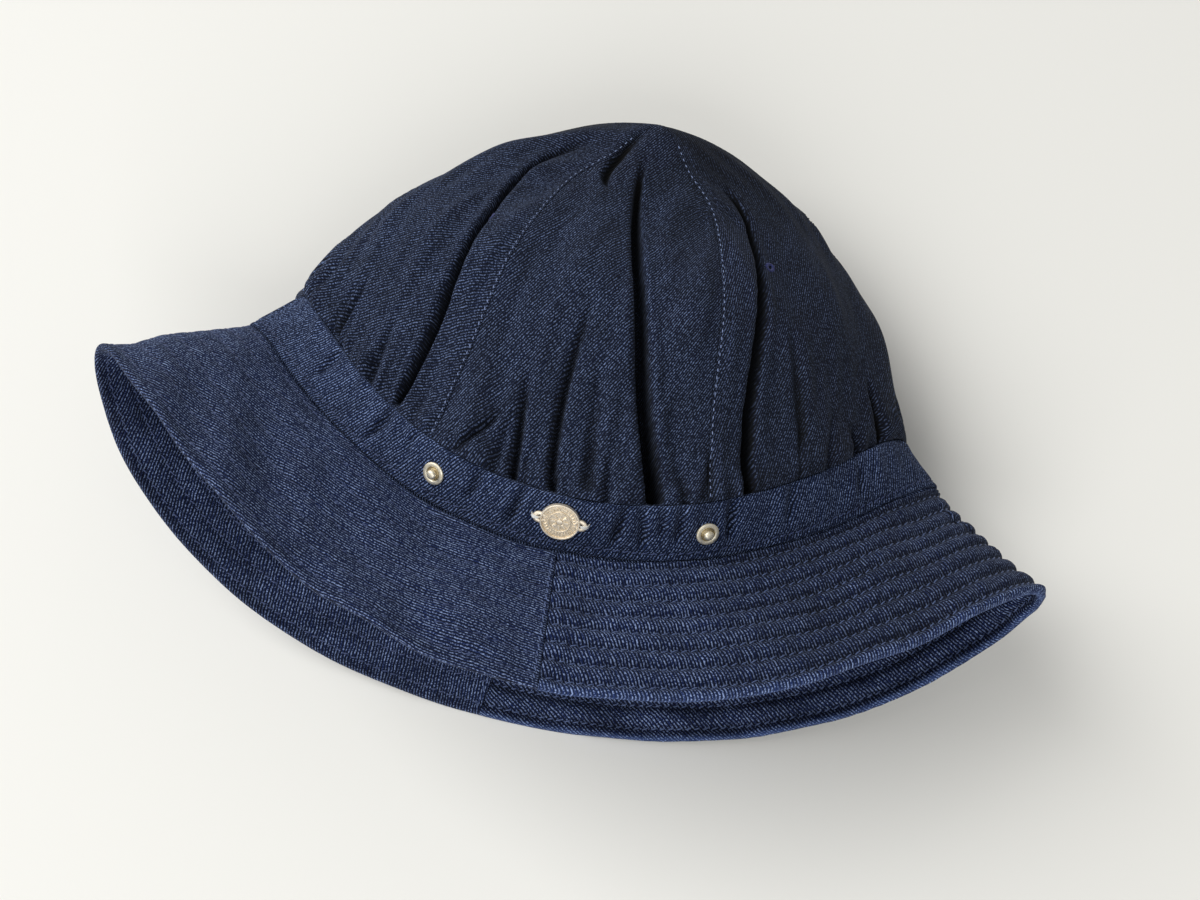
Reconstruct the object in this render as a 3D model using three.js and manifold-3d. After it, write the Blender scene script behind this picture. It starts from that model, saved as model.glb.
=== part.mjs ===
// A soft denim sailor hat lying on its back, front side up, with its brim turned down.
// X runs along the folded width, +Y from the brim to the crown's top, +Z up from the surface it lies on.
// Azimuth, in degrees, runs round the hat evenly along the cloth: 0 at the front centre, 90 at the
// right side fold, 180 at the back centre. Run, in millimetres, runs up a panel from the band's foot:
// negative on the brim, then the band, then the crown up to its pole.
import * as THREE from "three";
import Module from "manifold-3d";
import { mergeVertices } from "three/addons/utils/BufferGeometryUtils.js";

// Driving dimensions, millimetres
const seamWidth = 257; // the band's foot, from side fold to side fold
const lyingDepth = 156; // what lengths along Y are shares of
const lyingHeight = 90; // the front brim edge above the floor
const brimWidth = 58;
const bandHeight = 20.5;
const panelLength = 162; // a crown panel, from the band to the pole
const crownCloth = 1.6;
const bandCloth = 2.2;
const brimCloth = 2.6;
const seamGap = 0.3; // between pieces sewn to each other
const brimSeamGap = 0.25; // what the brim ends short of the band's foot
const poleGap = 2; // how far the panel tips end from the pole
const foldSoftness = 0.03; // share of a loop that a side fold is rounded over
const floorFlat = 1.2; // how much the cloth is pressed flat where it rests
const foldDepth = 9;
const foldWidth = 7;
const studRadius = 3.75;
const studHeight = 3;
const studPost = 1.5;
const studSeat = 0.5; // flange and back plate to the band's faces
const holeClearance = 0.3;
const badgeRadius = 6.3;
const badgeEarReach = 8.7;
const badgeThickness = 1.3;
const badgeSeat = 0.45;
const eyeletRadius = 1;

// Turns rows of numbers into objects with the columns' names.
function table(columns, rows) {
  const named = ([row, values]) => [row, Object.fromEntries(columns.map((column, i) => [column, values[i]]))];
  return Object.fromEntries(Object.entries(rows).map(named));
}

// Loops round the hat: half widths are shares of seamWidth, Y of lyingDepth, Z of lyingHeight.
const places = table(["halfWidth", "sideY", "sideZ", "frontY", "frontZ", "backY", "backZ"], {
  brimEdge: [0.641, -0.02, 0.65, -0.56, 1.0, -0.54, 0.0],
  bandFoot: [0.512, 0.225, 0.35, -0.25, 0.66, -0.165, 0.02],
  bandTop: [0.45, 0.28, 0.39, -0.17, 0.845, -0.035, 0.0],
  crownLow: [0.412, 0.36, 0.465, 0.075, 0.81, 0.245, 0.0],
  crownMiddle: [0.353, 0.535, 0.485, 0.325, 0.85, 0.395, 0.0],
  crownHigh: [0.243, 0.745, 0.47, 0.57, 0.71, 0.56, 0.03],
  crownTip: [0.125, 0.835, 0.53, 0.69, 0.655, 0.79, 0.3],
});
const pole = new THREE.Vector3(0, 0.835 * lyingDepth, 0.607 * lyingHeight);

// How each loop bends: powers of the cosine from the sides to the front and back, how round the side
// folds are, degrees that the seams stand turned from the middle, and lopsidedness as shares of lyingDepth.
const bendColumns = ["frontY", "frontZ", "backY", "backZ", "sides", "turn", "lean", "frontSkew", "backSkew"];
const crownBend = [1.3, 1.1, 1.2, 0.9, 1, 0, 0, 0, 0];
const bends = table(bendColumns, {
  brimEdge: [2.8, 0.9, 1.6, 1.8, 0.83, 1.7, -0.02, -0.03, 0.02],
  bandFoot: [2.3, 2.0, 1.25, 1.3, 0.91, 0.9, 0, 0, 0.04],
  bandTop: [2.3, 1.6, 1.25, 0.9, 0.93, 0.4, 0, 0, 0.045],
  crownLow: crownBend,
  crownMiddle: crownBend,
  crownHigh: crownBend,
  crownTip: crownBend,
});

// Folds sunk into the crown: azimuths at both ends and the bow between them in degrees, ends as shares
// of panelLength, depth and width as shares of foldDepth and foldWidth.
const foldColumns = ["lowAzimuth", "highAzimuth", "bow", "low", "high", "depth", "width"];
const folds = table(foldColumns, {
  centre: [18, -4, 2, 0.0, 0.84, 1.0, 1.0],
  right: [38, 46, -3, 0.0, 0.72, 0.8, 0.85],
  left: [-41, -54, 4, 0.0, 0.78, 0.85, 1.1],
  middleLeft: [-3, -5, -2, 0.0, 0.36, 0.3, 0.9],
  top: [-15, -12, -5, 0.7, 0.98, 0.3, 0.8],
});

// A point of a loop at an angle round it, before it is measured out evenly.
function loopPoint(name, angle) {
  const place = places[name];
  const bend = bends[name];
  const across = Math.sin(angle);
  const front = Math.max(Math.cos(angle), 0);
  const back = Math.max(-Math.cos(angle), 0);
  const x = place.halfWidth * Math.sign(across) * Math.abs(across) ** bend.sides;
  const y =
    place.sideY +
    bend.lean * across +
    (place.frontY - place.sideY) * front ** bend.frontY +
    (place.backY - place.sideY) * back ** bend.backY +
    (bend.frontSkew * front + bend.backSkew * back) * across;
  const z =
    place.sideZ +
    (place.frontZ - place.sideZ) * front ** bend.frontZ +
    (place.backZ - place.sideZ) * back ** bend.backZ;
  return new THREE.Vector3(x * seamWidth, y * lyingDepth, z * lyingHeight);
}

// A chain of points read by the share of its length.
class Chain {
  constructor(points) {
    this.points = points;
    this.lengths = [0];
    for (let i = 1; i < points.length; i++)
      this.lengths.push(this.lengths[i - 1] + points[i].distanceTo(points[i - 1]));
    this.length = this.lengths[points.length - 1];
  }

  at(share) {
    const along = THREE.MathUtils.clamp(share, 0, 1) * this.length;
    let high = 1;
    while (high < this.points.length - 1 && this.lengths[high] < along) high++;
    const low = high - 1;
    const part = (along - this.lengths[low]) / (this.lengths[high] - this.lengths[low]);
    return this.points[low].clone().lerp(this.points[high], part);
  }
}

const loopSteps = 360;

// Rounds off the side folds: each point moves to the middle of the stretch of cloth round it.
function softened(points) {
  const count = points.length - 1;
  const reach = Math.round(foldSoftness * count);
  const middle = (_, i) => {
    const sum = new THREE.Vector3();
    for (let k = -reach; k <= reach; k++) sum.add(points[(i + k + count) % count]);
    return sum.divideScalar(2 * reach + 1);
  };
  return Array.from({ length: count + 1 }, middle);
}

function evenLoop(name) {
  const start = bends[name].turn;
  const angleAt = (i) => THREE.MathUtils.degToRad(start + (360 * i) / loopSteps);
  const raw = new Chain(Array.from({ length: loopSteps + 1 }, (_, i) => loopPoint(name, angleAt(i))));
  const even = Array.from({ length: loopSteps + 1 }, (_, i) => raw.at(i / loopSteps));
  return new Chain(softened(softened(even)));
}

const loops = Object.fromEntries(Object.keys(places).map((name) => [name, evenLoop(name)]));

function loopAt(name, azimuth) {
  return loops[name].at(THREE.MathUtils.euclideanModulo(azimuth, 360) / 360);
}

// A point reached from the band's foot towards another loop, at a length measured along the cloth.
function fromFoot(name, azimuth, length) {
  const foot = loopAt("bandFoot", azimuth);
  return foot.add(loopAt(name, azimuth).sub(foot).setLength(length));
}

// The crown's line from the band to the pole; the curve passes on over the pole so that the top is smooth.
const crownLines = new Map();
function crownLine(azimuth) {
  if (crownLines.has(azimuth)) return crownLines.get(azimuth);
  const rows = ["crownLow", "crownMiddle", "crownHigh", "crownTip"].map((name) => loopAt(name, azimuth));
  const points = [fromFoot("bandTop", azimuth, bandHeight), ...rows, pole, loopAt("crownTip", azimuth + 180)];
  const curve = new THREE.CatmullRomCurve3(points, false, "catmullrom", 0.5);
  const steps = 60;
  const poleAt = (points.length - 2) / (points.length - 1);
  const line = new Chain(Array.from({ length: steps + 1 }, (_, i) => curve.getPoint((poleAt * i) / steps)));
  crownLines.set(azimuth, line);
  return line;
}

// The cloth's outer face without its folds.
function smoothPoint(azimuth, run) {
  if (run <= 0) return fromFoot("brimEdge", azimuth, Math.max(-run, 1e-6));
  if (run <= bandHeight) return fromFoot("bandTop", azimuth, run);
  return crownLine(azimuth).at((run - bandHeight) / panelLength);
}

const azimuthStep = 0.5;
const runStep = 1;
const top = bandHeight + panelLength;

function upward(azimuth, run, point = smoothPoint) {
  const above = point(azimuth, Math.min(run + runStep, top));
  return above.sub(point(azimuth, Math.max(run - runStep, -brimWidth)));
}

function outwardNormal(azimuth, run, point = smoothPoint) {
  const around = point(azimuth + azimuthStep, run).sub(point(azimuth - azimuthStep, run));
  return around.cross(upward(azimuth, run, point)).normalize();
}

function millimetresPerDegree(azimuth, run) {
  const around = smoothPoint(azimuth + azimuthStep, run).sub(smoothPoint(azimuth - azimuthStep, run));
  return around.length() / (2 * azimuthStep);
}

const foldFoot = 0.12; // share of a fold over which it deepens from its low end

// How deep the folds sink the crown at a place.
function foldSink(azimuth, run) {
  const share = (run - bandHeight) / panelLength;
  if (share <= 0) return 0;
  const scale = millimetresPerDegree(azimuth, run);
  let sink = 0;
  for (const fold of Object.values(folds)) {
    const along = (share - fold.low) / (fold.high - fold.low);
    if (along < 0 || along > 1) continue;
    const unbowed = THREE.MathUtils.lerp(fold.lowAzimuth, fold.highAzimuth, along);
    const middle = unbowed + fold.bow * 4 * along * (1 - along);
    const across = Math.abs(azimuth - middle) * (scale / (fold.width * foldWidth));
    if (across >= 1) continue;
    const fade = THREE.MathUtils.smoothstep(along, 0, foldFoot) * (1 - along ** 3);
    sink += fold.depth * foldDepth * fade * (0.5 + 0.5 * Math.cos(Math.PI * across));
  }
  return sink;
}

// The cloth's outer face, folded, and pressed flat on the floor.
function outerPoint(azimuth, run) {
  const point = smoothPoint(azimuth, run);
  point.addScaledVector(outwardNormal(azimuth, run), -foldSink(azimuth, run));
  point.z = Math.max(point.z - floorFlat, 0);
  return point;
}

// Round a side fold the walls turn evenly, and near the pole they all stand the same way, so that neither
// the fold's inner face nor the panels' narrow tips cross.
const turnSpread = 8; // degrees of azimuth
const tipReach = 16;
const poleNormal = new THREE.Vector3();
for (const azimuth of [0, 60, 120, 180, 240, 300]) poleNormal.add(outwardNormal(azimuth, top - tipReach / 2));
poleNormal.normalize();

function wallNormal(azimuth, run) {
  const share = THREE.MathUtils.smoothstep(run, top - tipReach, top - tipReach / 4);
  const normal = new THREE.Vector3();
  for (const spread of [-turnSpread, 0, turnSpread]) normal.add(outwardNormal(azimuth + spread, run));
  return normal.normalize().lerp(poleNormal, share).normalize();
}

// The outer and inner corners of a wall at a place, moved sideways by a part of a seam's gap. The two
// pieces at a seam round the hat share its normal, so that their edges stand parallel.
function wallCorners(azimuth, run, cloth, shift) {
  const seamRun = [0, bandHeight].find((seam) => Math.abs(run - seam) < seamGap) ?? run;
  const outward = wallNormal(azimuth, seamRun);
  const sideways = upward(azimuth, run).cross(outward).normalize();
  const outside = outerPoint(azimuth, run).addScaledVector(sideways, shift);
  outside.z = Math.max(outside.z, 0);
  return [outside, outside.clone().addScaledVector(outward, -cloth)];
}

// The columns' azimuths, shared by all the pieces so that their facets meet: fine in front and round the
// side folds, coarse at the back.
function columnAzimuths(from, to) {
  const fine = 3;
  const coarse = 6;
  const fineReach = 108;
  const azimuths = [from];
  while (azimuths[azimuths.length - 1] < to) {
    const last = azimuths[azimuths.length - 1];
    const wrapped = THREE.MathUtils.euclideanModulo(last + 180, 360) - 180;
    azimuths.push(last + (wrapped >= -fineReach && wrapped < fineReach ? fine : coarse));
  }
  return azimuths;
}

// A wall of cloth between two azimuths and two runs; one whole turn closes on itself.
function clothGeometry({ from, to, low, high, cloth, rows }) {
  const azimuths = columnAzimuths(from, to);
  const columns = azimuths.length - 1;
  const closed = to - from >= 360;
  const count = closed ? columns : columns + 1;
  const corners = [];
  for (let i = 0; i < count; i++) {
    const side = i === 0 ? 1 : i === columns ? -1 : 0;
    const shift = closed ? 0 : (side * seamGap) / 2;
    for (let j = 0; j <= rows; j++)
      corners.push(wallCorners(azimuths[i], THREE.MathUtils.lerp(low, high, j / rows), cloth, shift));
  }
  const corner = (i, j, side) => 2 * ((i % count) * (rows + 1) + j) + side;
  const triangles = [];
  // Both sides of a seam are split along the same diagonals, so that twisted walls still stand parallel.
  const quad = (a, b, c, d) => triangles.push(a, b, c, a, c, d);
  const outer = 0;
  const inner = 1;
  for (let i = 0; i < columns; i++) {
    for (let j = 0; j < rows; j++) {
      quad(
        corner(i, j, outer), corner(i + 1, j, outer),
        corner(i + 1, j + 1, outer), corner(i, j + 1, outer),
      );
      quad(
        corner(i, j, inner), corner(i, j + 1, inner),
        corner(i + 1, j + 1, inner), corner(i + 1, j, inner),
      );
    }
    quad(corner(i, 0, inner), corner(i + 1, 0, inner), corner(i + 1, 0, outer), corner(i, 0, outer));
    quad(
      corner(i, rows, inner), corner(i, rows, outer),
      corner(i + 1, rows, outer), corner(i + 1, rows, inner),
    );
  }
  if (!closed)
    for (let j = 0; j < rows; j++) {
      quad(corner(0, j, outer), corner(0, j + 1, outer), corner(0, j + 1, inner), corner(0, j, inner));
      const i = columns;
      quad(corner(i, j, outer), corner(i, j, inner), corner(i, j + 1, inner), corner(i, j + 1, outer));
    }
  const geometry = new THREE.BufferGeometry();
  const positions = corners.flatMap(([outside, inside]) => [...outside.toArray(), ...inside.toArray()]);
  geometry.setAttribute("position", new THREE.Float32BufferAttribute(positions, 3));
  geometry.setIndex(triangles);
  return geometry;
}

// Solids for cuts and joins
const solids = await Module();
solids.setup();

function toSolid(geometry) {
  const bare = geometry.clone();
  bare.deleteAttribute("normal");
  bare.deleteAttribute("uv");
  const merged = mergeVertices(bare, 1e-4);
  return new solids.Manifold(
    new solids.Mesh({
      numProp: 3,
      vertProperties: new Float32Array(merged.attributes.position.array),
      triVerts: new Uint32Array(merged.index.array),
    }),
  );
}

function fromSolid(solid) {
  const mesh = solid.getMesh();
  const geometry = new THREE.BufferGeometry();
  geometry.setAttribute("position", new THREE.BufferAttribute(Float32Array.from(mesh.vertProperties), 3));
  geometry.setIndex(new THREE.BufferAttribute(Uint32Array.from(mesh.triVerts), 1));
  return geometry;
}

// A place on the cloth's outer face: local X runs round the hat, local Y up the panel, local Z outwards.
function seatMatrix(azimuth, run) {
  const outward = outwardNormal(azimuth, run, outerPoint);
  const around = outerPoint(azimuth + azimuthStep, run).sub(outerPoint(azimuth - azimuthStep, run));
  around.addScaledVector(outward, -around.dot(outward)).normalize();
  const up = outward.clone().cross(around);
  return new THREE.Matrix4().makeBasis(around, up, outward).setPosition(outerPoint(azimuth, run));
}

// A plain round bar across the cloth, for cutting a hole.
function holeSolid(azimuth, run, radius) {
  const length = 16;
  const bar = new THREE.CylinderGeometry(radius, radius, length, 12).rotateX(Math.PI / 2);
  return toSolid(bar.applyMatrix4(seatMatrix(azimuth, run)));
}

function mesh(name, geometry, material) {
  const piece = new THREE.Mesh(geometry, material);
  piece.name = name;
  return piece;
}

function denim(color) {
  return new THREE.MeshStandardMaterial({ color, roughness: 0.95, metalness: 0 });
}

function metal(color) {
  return new THREE.MeshStandardMaterial({ color, roughness: 0.35, metalness: 1 });
}

// Crown
const eyelets = {
  crown_panel_front_left: { azimuth: -44, share: 0.49 },
  crown_panel_front_right: { azimuth: 48, share: 0.52 },
};

// Where each panel starts; it ends 60 degrees on
const crownPanels = {
  crown_panel_back_left: -150,
  crown_panel_front_left: -90,
  crown_panel_front: -30,
  crown_panel_front_right: 30,
  crown_panel_back_right: 90,
  crown_panel_back: 150,
};

function crownPanel(name) {
  const geometry = clothGeometry({
    from: crownPanels[name],
    to: crownPanels[name] + 60,
    low: bandHeight + seamGap / 2,
    high: bandHeight + panelLength - poleGap,
    cloth: crownCloth,
    rows: 14,
  });
  const eyelet = eyelets[name];
  if (!eyelet) return mesh(name, geometry, denim("#1d2743"));
  const hole = holeSolid(eyelet.azimuth, bandHeight + eyelet.share * panelLength, eyeletRadius);
  return mesh(name, fromSolid(toSolid(geometry).subtract(hole)), denim("#1d2743"));
}

// Band with the holes that its studs are set through
const studs = table(["azimuth", "share"], {
  snap_stud_left: [-27.5, 0.5],
  snap_stud_right: [29.5, 0.46],
});

function band() {
  const geometry = clothGeometry({
    from: -180,
    to: 180,
    low: seamGap / 2,
    high: bandHeight - seamGap / 2,
    cloth: bandCloth,
    rows: 1,
  });
  let solid = toSolid(geometry);
  for (const { azimuth, share } of Object.values(studs))
    solid = solid.subtract(holeSolid(azimuth, share * bandHeight, studPost + holeClearance));
  return mesh("band", fromSolid(solid), denim("#1b2540"));
}

// Brim
function brimHalf(name, from, to) {
  const geometry = clothGeometry({
    from,
    to,
    low: -brimWidth,
    high: -brimSeamGap,
    cloth: brimCloth,
    rows: 2,
  });
  return mesh(name, geometry, denim("#223054"));
}

// A snap stud, turned round its axis: domed head and flange outside, post, and a plate behind the band.
function studProfile() {
  const back = -bandCloth - studSeat;
  const plate = 0.7;
  const flange = 0.8;
  const domeRadius = 0.52 * studRadius;
  const shoulder = studSeat + 0.55 * studHeight;
  return [
    [0, back - plate],
    [0.8 * studRadius, back - plate],
    [studRadius, back - 0.6 * plate],
    [studRadius, back],
    [studPost, back],
    [studPost, studSeat],
    [studRadius, studSeat],
    [studRadius, studSeat + 0.6 * flange],
    [0.92 * studRadius, studSeat + flange],
    [0.8 * studRadius, studSeat + flange],
    [0.72 * studRadius, studSeat + 0.55 * flange],
    [0.9 * domeRadius, studSeat + 0.55 * flange],
    [domeRadius, shoulder],
    [0.8 * domeRadius, studSeat + 0.85 * studHeight],
    [0.45 * domeRadius, studSeat + 0.97 * studHeight],
    [0, studSeat + studHeight],
  ].map(([radius, height]) => new THREE.Vector2(radius, height));
}

function snapStud(name) {
  const { azimuth, share } = studs[name];
  const geometry = new THREE.LatheGeometry(studProfile(), 16).rotateX(Math.PI / 2);
  const piece = mesh(name, geometry, metal("#cfc7ae"));
  seatMatrix(azimuth, share * bandHeight).decompose(piece.position, piece.quaternion, piece.scale);
  return piece;
}

// Badge: a round plate with two sewn ears, a raised rim, an inner ring and a plain ring of ticks
function badgeOutline() {
  const earRadius = 1.5;
  const earCentre = badgeEarReach - earRadius;
  const earHole = 0.6;
  const root = Math.PI / 7;
  const outline = new THREE.Shape();
  outline.absarc(0, 0, badgeRadius, root, Math.PI - root, false);
  outline.absarc(-earCentre, 0, earRadius, Math.PI / 2 + root, (3 * Math.PI) / 2 - root, false);
  outline.absarc(0, 0, badgeRadius, Math.PI + root, 2 * Math.PI - root, false);
  outline.absarc(earCentre, 0, earRadius, -Math.PI / 2 + root, Math.PI / 2 - root, false);
  for (const side of [-1, 1])
    outline.holes.push(new THREE.Path().absarc(side * earCentre, 0, earHole, 0, 2 * Math.PI, true));
  return outline;
}

function raisedRing(inside, outside, foot, top) {
  const profile = [
    [inside, foot],
    [outside, foot],
    [outside, top],
    [inside, top],
    [inside, foot],
  ].map(([radius, height]) => new THREE.Vector2(radius, height));
  return toSolid(new THREE.LatheGeometry(profile, 28).rotateX(Math.PI / 2));
}

function badge() {
  const plate = 0.62 * badgeThickness;
  const tickCount = 12;
  const options = { depth: plate, bevelEnabled: false, curveSegments: 8 };
  const body = new THREE.ExtrudeGeometry(badgeOutline(), options);
  let solid = toSolid(body);
  const foot = 0.5 * plate;
  solid = solid.add(raisedRing(0.87 * badgeRadius, 0.98 * badgeRadius, foot, badgeThickness));
  solid = solid.add(raisedRing(0.5 * badgeRadius, 0.57 * badgeRadius, foot, 0.9 * badgeThickness));
  for (let i = 0; i < tickCount; i++) {
    const tick = new THREE.BoxGeometry(0.18 * badgeRadius, 0.07 * badgeRadius, 0.9 * badgeThickness - foot);
    tick.translate(0.72 * badgeRadius, 0, (0.9 * badgeThickness + foot) / 2);
    tick.rotateZ((2 * Math.PI * (i + 0.5)) / tickCount);
    solid = solid.add(toSolid(tick));
  }
  const piece = mesh("badge", fromSolid(solid), metal("#bdb3a0"));
  const raise = new THREE.Matrix4().makeTranslation(0, 0, badgeSeat);
  const seat = seatMatrix(0, 0.56 * bandHeight).multiply(raise);
  seat.decompose(piece.position, piece.quaternion, piece.scale);
  return piece;
}

// The whole hat, then moved so that the middle of its box's underside is the origin
const hat = new THREE.Group();
for (const name of Object.keys(crownPanels)) hat.add(crownPanel(name));
hat.add(band());
hat.add(brimHalf("brim_right", 0, 180));
hat.add(brimHalf("brim_left", -180, 0));
for (const name of Object.keys(studs)) hat.add(snapStud(name));
hat.add(badge());

const box = new THREE.Box3().setFromObject(hat, true);
const centre = box.getCenter(new THREE.Vector3());
hat.position.set(-centre.x, -centre.y, -box.min.z);

const part = new THREE.Group();
part.add(hat);
part.updateMatrixWorld(true);

export default part;
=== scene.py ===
"""A soft dark denim hat, lying on its back with its front side up and its row-stitched brim turned down.

Azimuth, in degrees, runs round the hat evenly along the cloth: 0 at the front centre, 90 at the right side
fold, 180 at the back centre. Run, in millimetres, runs up a panel from the band's foot: negative on the brim,
then the band, then the crown up to its pole. The hat's shape is worked out in millimetres.
"""

import logging
import math
from dataclasses import dataclass, field
from enum import Enum

import bpy
import numpy as np
from mathutils import Matrix, Vector


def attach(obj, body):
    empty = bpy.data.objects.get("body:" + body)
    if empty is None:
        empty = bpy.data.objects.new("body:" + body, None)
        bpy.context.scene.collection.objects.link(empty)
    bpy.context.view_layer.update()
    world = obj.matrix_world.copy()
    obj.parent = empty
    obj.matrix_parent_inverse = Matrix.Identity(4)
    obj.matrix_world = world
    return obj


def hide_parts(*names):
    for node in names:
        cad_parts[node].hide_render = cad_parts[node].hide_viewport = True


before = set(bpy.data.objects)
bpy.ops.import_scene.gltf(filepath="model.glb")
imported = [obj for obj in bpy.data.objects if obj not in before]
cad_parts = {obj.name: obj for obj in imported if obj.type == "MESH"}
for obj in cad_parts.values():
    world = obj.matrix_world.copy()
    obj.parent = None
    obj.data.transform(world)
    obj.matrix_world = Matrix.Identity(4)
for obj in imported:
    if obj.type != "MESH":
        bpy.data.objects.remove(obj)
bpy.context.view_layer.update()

MM = 0.001
BODY = "root"
LOG = logging.getLogger("hat")
LEAST_LENGTH = 1e-12
FULL_TURN = 360.0


def smooth_rise(value: np.ndarray, low: float, high: float) -> np.ndarray:
    """Rises smoothly from 0 to 1.

    Args:
        value: What the rise depends on.
        low: Where it starts.
        high: Where it ends.

    Returns:
        The share risen, for each value.
    """
    share = np.clip((value - low) / (high - low), 0.0, 1.0)
    return share * share * (3.0 - 2.0 * share)


def unit(vectors: np.ndarray) -> np.ndarray:
    """The same vectors at a length of one."""
    return vectors / np.maximum(np.linalg.norm(vectors, axis=-1, keepdims=True), LEAST_LENGTH)


def evenly(points: np.ndarray, count: int) -> np.ndarray:
    """Spaces points evenly along a line.

    Args:
        points: The line's own points, one a row.
        count: How many equal stretches it is cut into.

    Returns:
        One more point than there are stretches.
    """
    steps = np.linalg.norm(np.diff(points, axis=0), axis=1)
    lengths = np.concatenate([[0.0], np.cumsum(steps)])
    wanted = np.linspace(0.0, lengths[-1], count + 1)
    return np.stack([np.interp(wanted, lengths, points[:, k]) for k in range(3)], axis=1)


def bell(distance: np.ndarray, reach: float) -> np.ndarray:
    """A smooth bump: 1 where the distance is 0, and almost 0 at twice the reach."""
    return np.exp(-((distance / reach) ** 2))


@dataclass(frozen=True)
class Place:
    """Where a loop round the hat lies: half its width as a share of the folded width, Y and Z as shares of
    the lying depth and height."""

    half_width: float
    side_y: float
    side_z: float
    front_y: float
    front_z: float
    back_y: float
    back_z: float


@dataclass(frozen=True)
class Bend:
    """How a loop bends: powers of the cosine from the sides to the front and back, how round the side folds
    are, degrees that the seams stand turned from the middle, and lopsidedness."""

    front_y: float = 1.3
    front_z: float = 1.1
    back_y: float = 1.2
    back_z: float = 0.9
    sides: float = 1.0
    turn: float = 0.0
    lean: float = 0.0
    front_skew: float = 0.0
    back_skew: float = 0.0


PLACES = {
    "brim_edge": Place(0.641, -0.02, 0.65, -0.56, 1.0, -0.54, 0.0),
    "band_foot": Place(0.512, 0.225, 0.35, -0.25, 0.66, -0.165, 0.02),
    "band_top": Place(0.45, 0.28, 0.39, -0.17, 0.845, -0.035, 0.0),
    "crown_low": Place(0.412, 0.36, 0.465, 0.075, 0.81, 0.245, 0.0),
    "crown_middle": Place(0.353, 0.535, 0.485, 0.325, 0.85, 0.395, 0.0),
    "crown_high": Place(0.243, 0.745, 0.47, 0.57, 0.71, 0.56, 0.03),
    "crown_tip": Place(0.125, 0.835, 0.53, 0.69, 0.655, 0.79, 0.3),
}
BENDS = {
    "brim_edge": Bend(2.8, 0.9, 1.6, 1.8, 0.83, 1.7, -0.02, -0.03, 0.02),
    "band_foot": Bend(2.3, 2.0, 1.25, 1.3, 0.91, 0.9, 0.0, 0.0, 0.04),
    "band_top": Bend(2.3, 1.6, 1.25, 0.9, 0.93, 0.4, 0.0, 0.0, 0.045),
}


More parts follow.
